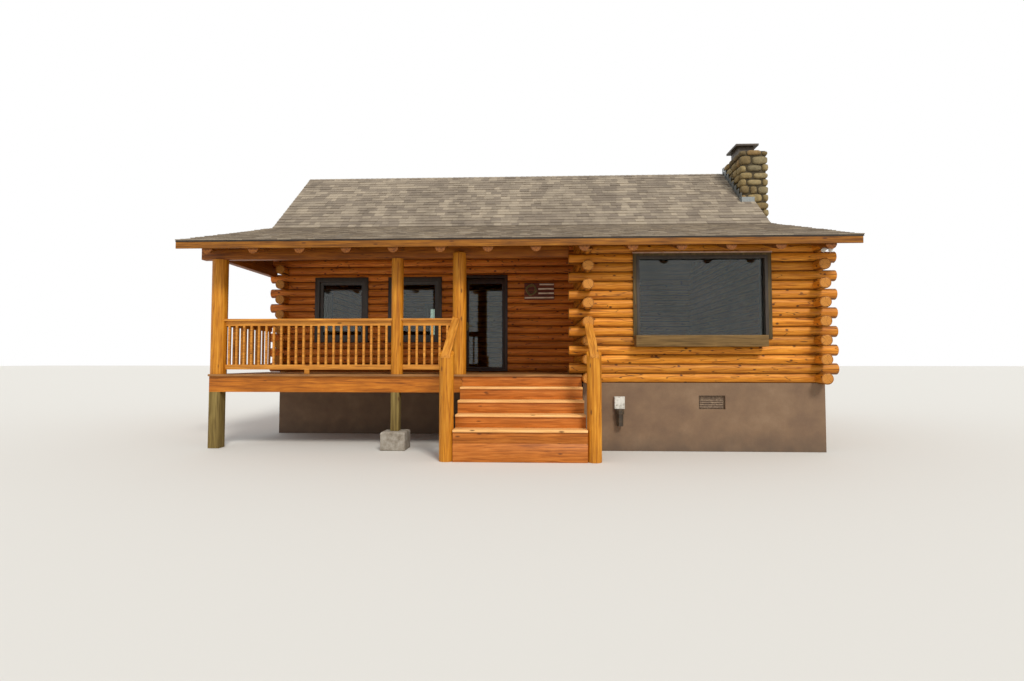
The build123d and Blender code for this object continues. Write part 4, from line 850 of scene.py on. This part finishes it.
# Windows: pine casings and sashes painted a very dark brown, around clear double glazing.
# The paint is satin and hides the grain except for faint ridges.
dark_paint, tree = blank("dark_brown_satin_paint")
place = add(tree, "ShaderNodeTexCoord").outputs["Object"]
ridges = add(tree, "ShaderNodeTexNoise", {
    "Vector": add(tree, "ShaderNodeMapping", {"Vector": place, "Scale": (60.0, 60.0, 6.0)}).outputs[0],
    "Scale": 1.0, "Detail": 5.0})
brown = add(tree, "ShaderNodeValToRGB", {0: ridges.outputs["Fac"]},
            ramp=[(0.3, linear("#2A2119")), (0.7, linear("#43372A"))])
bump = add(tree, "ShaderNodeBump", {"Height": ridges.outputs["Fac"], "Strength": 0.2, "Distance": 0.002})
close(tree, base_color=brown.outputs[0], roughness=0.42, normal=bump.outputs[0])
eased(dark_paint, 0.003, "window_frames")

# Float glass, with the green cast that its edges give and faint waviness in its reflections
glazing, tree = blank("clear_float_glass")
place = add(tree, "ShaderNodeTexCoord").outputs["Object"]
wave = add(tree, "ShaderNodeTexNoise", {"Vector": place, "Scale": 1.2, "Detail": 1.0})
bump = add(tree, "ShaderNodeBump", {"Height": wave.outputs["Fac"], "Strength": 0.04, "Distance": 0.02})
cast = add(tree, "ShaderNodeValToRGB", {0: wave.outputs["Fac"]},
           ramp=[(0.3, linear("#B9C9BE")), (0.7, linear("#D2DCD4"))])
close(tree, base_color=cast.outputs[0], roughness=0.01, ior=1.52, transmission_weight=1.0,
      normal=bump.outputs[0])
dress(glazing, "window_glass", "door_glass")


# Picture window trim and flower box: planed pine in an olive brown stain, duller than the logs.
# A folded strip of painted aluminium sheds water over the head of the window.
eased(sawn_wood("olive_stained_trim", 2, "#6E5A34", "#564526", "#3B2F1A"), 0.004, "picture_trim")
eased(sawn_wood("olive_stained_flower_box", 0, "#8A6C3E", "#735830", "#513C1E", roughness=0.7, weather=0.5),
      0.004, "flower_box")
strip_paint, tree = blank("faded_painted_aluminium")
place = add(tree, "ShaderNodeTexCoord").outputs["Object"]
fade = add(tree, "ShaderNodeTexNoise", {"Vector": place, "Scale": 9.0, "Detail": 5.0})
faded = add(tree, "ShaderNodeValToRGB", {0: fade.outputs["Fac"]},
            ramp=[(0.3, linear("#A97E63")), (0.7, linear("#CBA78C"))])
bump = add(tree, "ShaderNodeBump", {"Height": fade.outputs["Fac"], "Strength": 0.1, "Distance": 0.001})
close(tree, base_color=faded.outputs[0], roughness=0.5, normal=bump.outputs[0])
trim_low, trim_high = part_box("picture_trim")
strip_left, strip_right, strip_top = trim_low.x - 0.01, trim_high.x + 0.01, trim_high.z + 0.004
boxes("head_flashing", [((strip_left, trim_low.y - 0.012, trim_high.z),
                         (strip_right, trim_high.y, strip_top)),
                        ((strip_left, trim_low.y - 0.014, trim_high.z - 0.022),
                         (strip_right, trim_low.y - 0.012, strip_top))], strip_paint)

# Potting soil in the flower box, crumbly and dark
soil_skin, tree = blank("damp_potting_soil")
place = add(tree, "ShaderNodeTexCoord").outputs["Object"]
crumbs = add(tree, "ShaderNodeTexNoise", {"Vector": place, "Scale": 85.0, "Detail": 6.0})
peat = add(tree, "ShaderNodeValToRGB", {0: crumbs.outputs["Fac"]},
           ramp=[(0.3, linear("#1E1510")), (0.7, linear("#4A382A"))])
bump = add(tree, "ShaderNodeBump", {"Height": crumbs.outputs["Fac"], "Strength": 1.0, "Distance": 0.008})
close(tree, base_color=peat.outputs[0], roughness=0.95, normal=bump.outputs[0])
draw = random.Random(7)
soil_left, soil_front, soil_level = 2.002, -3.677, 1.998
soil_length, soil_depth, crumb = 2.208, 0.154, 0.012
columns, rows = 120, 9
soil_points = [(soil_left + soil_length * i / columns, soil_front + soil_depth * j / rows,
                soil_level + draw.uniform(0, crumb))
               for j in range(rows + 1) for i in range(columns + 1)]
soil_faces = [(j * (columns + 1) + i, j * (columns + 1) + i + 1, (j + 1) * (columns + 1) + i + 1,
               (j + 1) * (columns + 1) + i) for j in range(rows) for i in range(columns)]
piece("potting_soil", soil_points, soil_faces, soil_skin, smooth=True)


# Front door: a dark stained frame around a glazed leaf of the same wood.
door_wood = sawn_wood("dark_stained_door", 2, "#4E301C", "#392214", "#20120B", roughness=0.38, weather=0.2)
eased(door_wood, 0.003, "door_frame")
eased(door_wood, 0.003, "front_door", body="front_door")

# Hinges and lever handles of aged brass, brown in the recesses
aged_brass, tree = blank("aged_brass")
place = add(tree, "ShaderNodeTexCoord").outputs["Object"]
tarnish = add(tree, "ShaderNodeTexNoise", {"Vector": place, "Scale": 60.0, "Detail": 5.0})
brass = add(tree, "ShaderNodeValToRGB", {0: tarnish.outputs["Fac"]},
            ramp=[(0.35, linear("#4A3A22")), (0.65, linear("#8A7040"))])
bump = add(tree, "ShaderNodeBump", {"Height": tarnish.outputs["Fac"], "Strength": 0.1, "Distance": 0.001})
close(tree, base_color=brass.outputs[0], metallic=1.0, roughness=0.42, normal=bump.outputs[0])
dress(aged_brass, "door_hinges", "leaf_hinges", "door_handle")


# Wall plaque: a stained pine board with four painted cream stripes, and a ring of dried twigs on it.
# The paint is rubbed thin so that the wood shows, and the twigs are wound loosely into the ring.
board_wood = sawn_wood("stained_plaque_board", 0, "#8A4524", "#6E3016", "#471B0A", weather=0.3)
cream_paint, tree = blank("rubbed_cream_paint")
place = add(tree, "ShaderNodeTexCoord").outputs["Object"]
rub = add(tree, "ShaderNodeTexNoise", {
    "Vector": add(tree, "ShaderNodeMapping", {"Vector": place, "Scale": (7.0, 60.0, 60.0)}).outputs[0],
    "Scale": 1.0, "Detail": 5.0})
cream = add(tree, "ShaderNodeValToRGB", {0: rub.outputs["Fac"]},
            ramp=[(0.45, linear("#F2DFC4")), (0.75, linear("#C09A72"))])
bump = add(tree, "ShaderNodeBump", {"Height": rub.outputs["Fac"], "Strength": 0.3, "Distance": 0.002})
close(tree, base_color=cream.outputs[0], roughness=0.65, normal=bump.outputs[0])
dry_bark, tree = blank("dried_twig_bark")
place = add(tree, "ShaderNodeTexCoord").outputs["Object"]
fibre = add(tree, "ShaderNodeTexNoise", {"Vector": place, "Scale": 130.0, "Detail": 6.0})
bark = add(tree, "ShaderNodeValToRGB", {0: fibre.outputs["Fac"]},
           ramp=[(0.3, linear("#5C4C2C")), (0.55, linear("#93804E")), (0.8, linear("#BDA872"))])
bump = add(tree, "ShaderNodeBump", {"Height": fibre.outputs["Fac"], "Strength": 0.6, "Distance": 0.002})
close(tree, base_color=bark.outputs[0], roughness=0.85, normal=bump.outputs[0])

plaque_low, plaque_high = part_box("wall_plaque")
board = boxes("plaque_board", [(plaque_low, plaque_high)], board_wood, bevel=0.003)
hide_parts("wall_plaque")
stripe_half, stripe_margin = 0.016, 0.006
stripes = []
for share, left in ((0.12, 0.0), (0.38, 0.46), (0.64, 0.46), (0.9, 0.5)):
    height = plaque_low.z + share * (plaque_high.z - plaque_low.z)
    start = plaque_low.x + stripe_margin + left * (plaque_high.x - plaque_low.x)
    stripes.append(((start, plaque_low.y - 0.002, height - stripe_half),
                    (plaque_high.x - stripe_margin, plaque_low.y + 0.002, height + stripe_half)))
boxes("plaque_stripes", stripes, cream_paint, bevel=0.001)

draw = random.Random(9)
ring_x, ring_z, ring_reach = plaque_low.x + 0.15, plaque_high.z - 0.155, 0.105
points, faces = [], []
turns, sides, strands = 72, 6, 9
for strand in range(strands):
    reach = ring_reach + draw.uniform(-0.022, 0.022)
    thick = draw.uniform(0.004, 0.007)
    phase, waves = draw.uniform(0, 6.28), draw.choice((3, 4, 5))
    first = len(points)
    for i in range(turns):
        angle = 2 * math.pi * i / turns
        radius = reach + 0.012 * math.sin(waves * angle + phase)
        level = plaque_low.y - 0.016 + 0.009 * math.cos(waves * angle + phase)
        for j in range(sides):
            side = 2 * math.pi * j / sides
            outer = radius + thick * math.cos(side)
            points.append((ring_x + outer * math.cos(angle), level + thick * math.sin(side),
                           ring_z + outer * math.sin(angle)))
            here, next_turn = first + i * sides, first + (i + 1) % turns * sides
            faces.append((here + j, next_turn + j, next_turn + (j + 1) % sides, here + (j + 1) % sides))
piece("twig_ring", points, faces, dry_bark, smooth=True)


# Stage: a smooth floor painted pale grey under a white background.
# A soft key light comes from the front right, with an even fill from all around.
floor_paint, tree = blank("rolled_pale_floor_paint")
place = add(tree, "ShaderNodeTexCoord").outputs["Object"]
roller = add(tree, "ShaderNodeTexNoise", {"Vector": place, "Scale": 300.0, "Detail": 2.0})
bump = add(tree, "ShaderNodeBump", {"Height": roller.outputs["Fac"], "Strength": 0.03, "Distance": 0.0005})
close(tree, base_color=linear("#D9D7D2"), roughness=0.9, normal=bump.outputs[0])
bpy.ops.mesh.primitive_plane_add(size=400, location=(0, 0, -0.002))
floor = bpy.context.object
floor.name = "studio_floor"
floor.data.materials.append(floor_paint)

world = bpy.data.worlds.new("studio")
bpy.context.scene.world = world
world.use_nodes = True
tree = world.node_tree
tree.nodes.clear()
seen = add(tree, "ShaderNodeLightPath")
straight = add(tree, "ShaderNodeMath", {0: seen.outputs["Is Camera Ray"], 1: seen.outputs["Is Glossy Ray"]},
               operation="MAXIMUM")
showing = add(tree, "ShaderNodeMath", {0: straight.outputs[0], 1: seen.outputs["Is Transmission Ray"]},
              operation="MAXIMUM")
fill = add(tree, "ShaderNodeBackground", {"Color": linear("#F2F4F6"), "Strength": 0.82})
white = add(tree, "ShaderNodeBackground", {"Color": (1, 1, 1, 1), "Strength": 1.0})
both = add(tree, "ShaderNodeMixShader", {0: showing.outputs[0], 1: fill.outputs[0], 2: white.outputs[0]})
add(tree, "ShaderNodeOutputWorld", {"Surface": both.outputs[0]})

key = bpy.data.lights.new("key", "SUN")
key.energy = 2.05
key.angle = math.radians(14)
key.color = (1.0, 0.95, 0.87)
key_lamp = bpy.data.objects.new("key", key)
key_lamp.rotation_euler = (math.radians(47), 0, math.radians(24))
bpy.context.scene.collection.objects.link(key_lamp)

# The camera stands where the photograph was taken, with the lens fitted to its frame
camera = bpy.data.cameras.new("camera")
camera.sensor_width = 36
camera.lens = 18.748
eye = bpy.data.objects.new("camera", camera)
eye.location = (0.193, -13.006, 1.57)
eye.rotation_euler = (math.radians(92.292), math.radians(-0.014), math.radians(2.276))
bpy.context.scene.collection.objects.link(eye)
bpy.context.scene.camera = eye
bpy.context.scene.view_settings.view_transform = "Standard"
